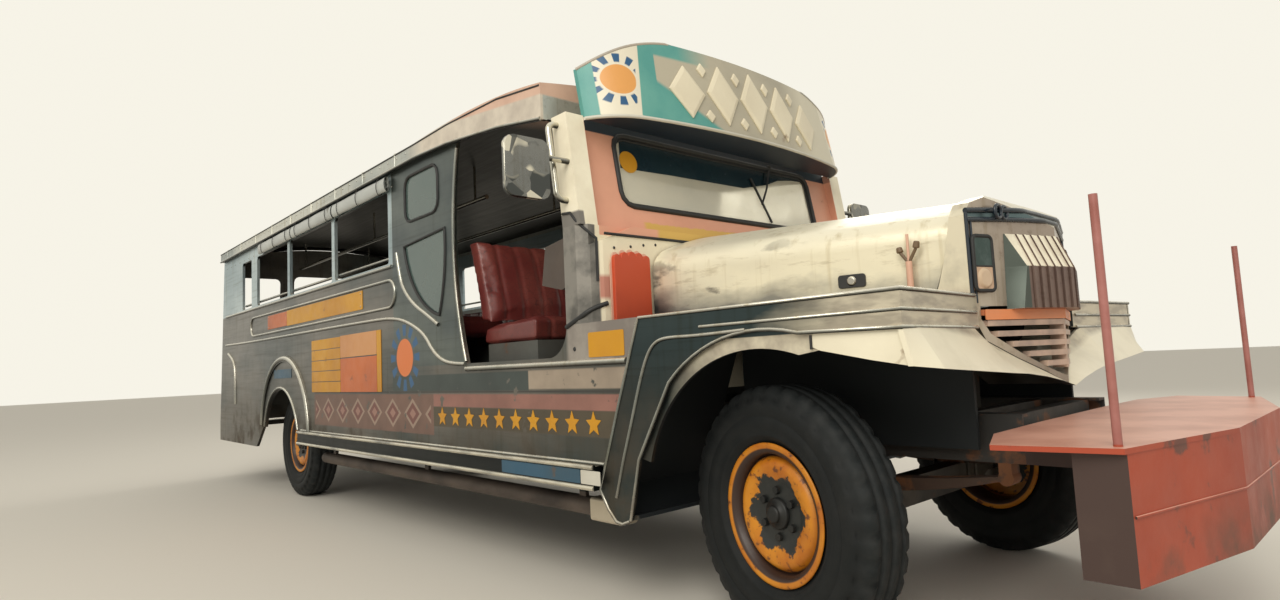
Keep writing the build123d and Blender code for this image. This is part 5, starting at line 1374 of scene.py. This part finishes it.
# The enamel gives way to dark in six ragged lobes round the hub.
lobes = maths("COSINE", maths("MULTIPLY", angle, float(nut_count)))
ragged = maths("MULTIPLY_ADD", cloud(55, 5), 0.055, maths("MULTIPLY_ADD", lobes, lobe_depth, lobe_reach))
dark_lobes = between(maths("SUBTRACT", ragged, reach), 0.024, 0.030)
yellow = patchy((0.62, 0.235, 0.008), (0.46, 0.135, 0.005), 9, 0.40, 0.66, 5)
yellow = mix(between(cloud(34, 6), 0.58, 0.66), yellow, (0.15, 0.045, 0.010))
# Painted shade: the recessed well between the disc and the flange is dark.
seam = times(between(reach, 0.1665, 0.172), between(reach, 0.197, 0.193))
tone = mix(dark_lobes, mix(seam, yellow, (0.035, 0.016, 0.010)), (0.014, 0.016, 0.015))
surface(Base_Color=tone, Roughness=between(cloud(18), 0, 1, 0.3, 0.6))
dent(cloud(70, 5), 0.3, 0.0012)
hub_black = grimed_paint(
    "hub_black", (0.014, 0.015, 0.015), (0.03, 0.028, 0.024), (0.055, 0.035, 0.02), 0.45, 0.62, 0.4)

for joint in frame["joints"]:
    if not joint.get("continuous"):
        continue
    corner = joint["child"].replace("wheel_", "")
    middle = Vector(joint["pos_m"])
    outward = Vector(joint["axis"]) * (1 if middle.y > 0 else -1)
    stance = Matrix.Translation(middle) @ Matrix((up.cross(outward), up, outward)).transposed().to_4x4()
    tyre = spun(f"tyre_dressed_{corner}", tyre_profile, tyre_steps, shoulder_lugs)
    rim = spun(f"rim_dressed_{corner}", rim_profile, 96)
    disc = spun(f"wheel_disc_{corner}", disc_profile, 96)
    hub = spun(f"hub_cap_{corner}", hub_profile, 48)
    turns = [2 * math.pi * (index + 0.5) / nut_count for index in range(nut_count)]
    seats = [Vector((nut_circle * math.cos(turn), nut_circle * math.sin(turn), nut_seat)) for turn in turns]
    nuts = studs(f"wheel_nuts_{corner}", seats, up, nut_size, nut_rise, 6, 0.93)
    for piece, material, slot, bevel in (
        (tyre, tyre_black, "tyre", 0), (rim, wheel_yellow, "rim_paint", 0),
        (disc, wheel_yellow, "rim_paint", 0), (hub, hub_black, "rim_paint", 0),
        (nuts, hub_black, "rim_paint", 0.0015),
    ):
        piece.matrix_world = stance
        fix(piece, material, joint["child"], bevel)
    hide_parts(f"tyre_{corner}")
    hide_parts(f"rim_{corner}")


# Glass: clear sheet bedded in rubber in every opening. Pale dust films the front pane, and
# the side and rear panes look greenish.
dusty_glass = blank("dusty_glass")
dust = between(cloud(3.0, 6), 0.25, 0.75)
front_haze = mix(dust, (0.74, 0.70, 0.56), (0.84, 0.81, 0.68))
rear_haze = mix(dust, (0.085, 0.135, 0.125), (0.17, 0.23, 0.21))
haze = mix(between(whereabouts()[0], -1.40, -1.60), front_haze, rear_haze)
surface(Base_Color=haze, Transmission_Weight=between(dust, 0, 1, 0.25, 0.50), Roughness=0.08)
dent(cloud(30, 4), 0.06, 0.0006)
dress(dusty_glass, "window_glass")
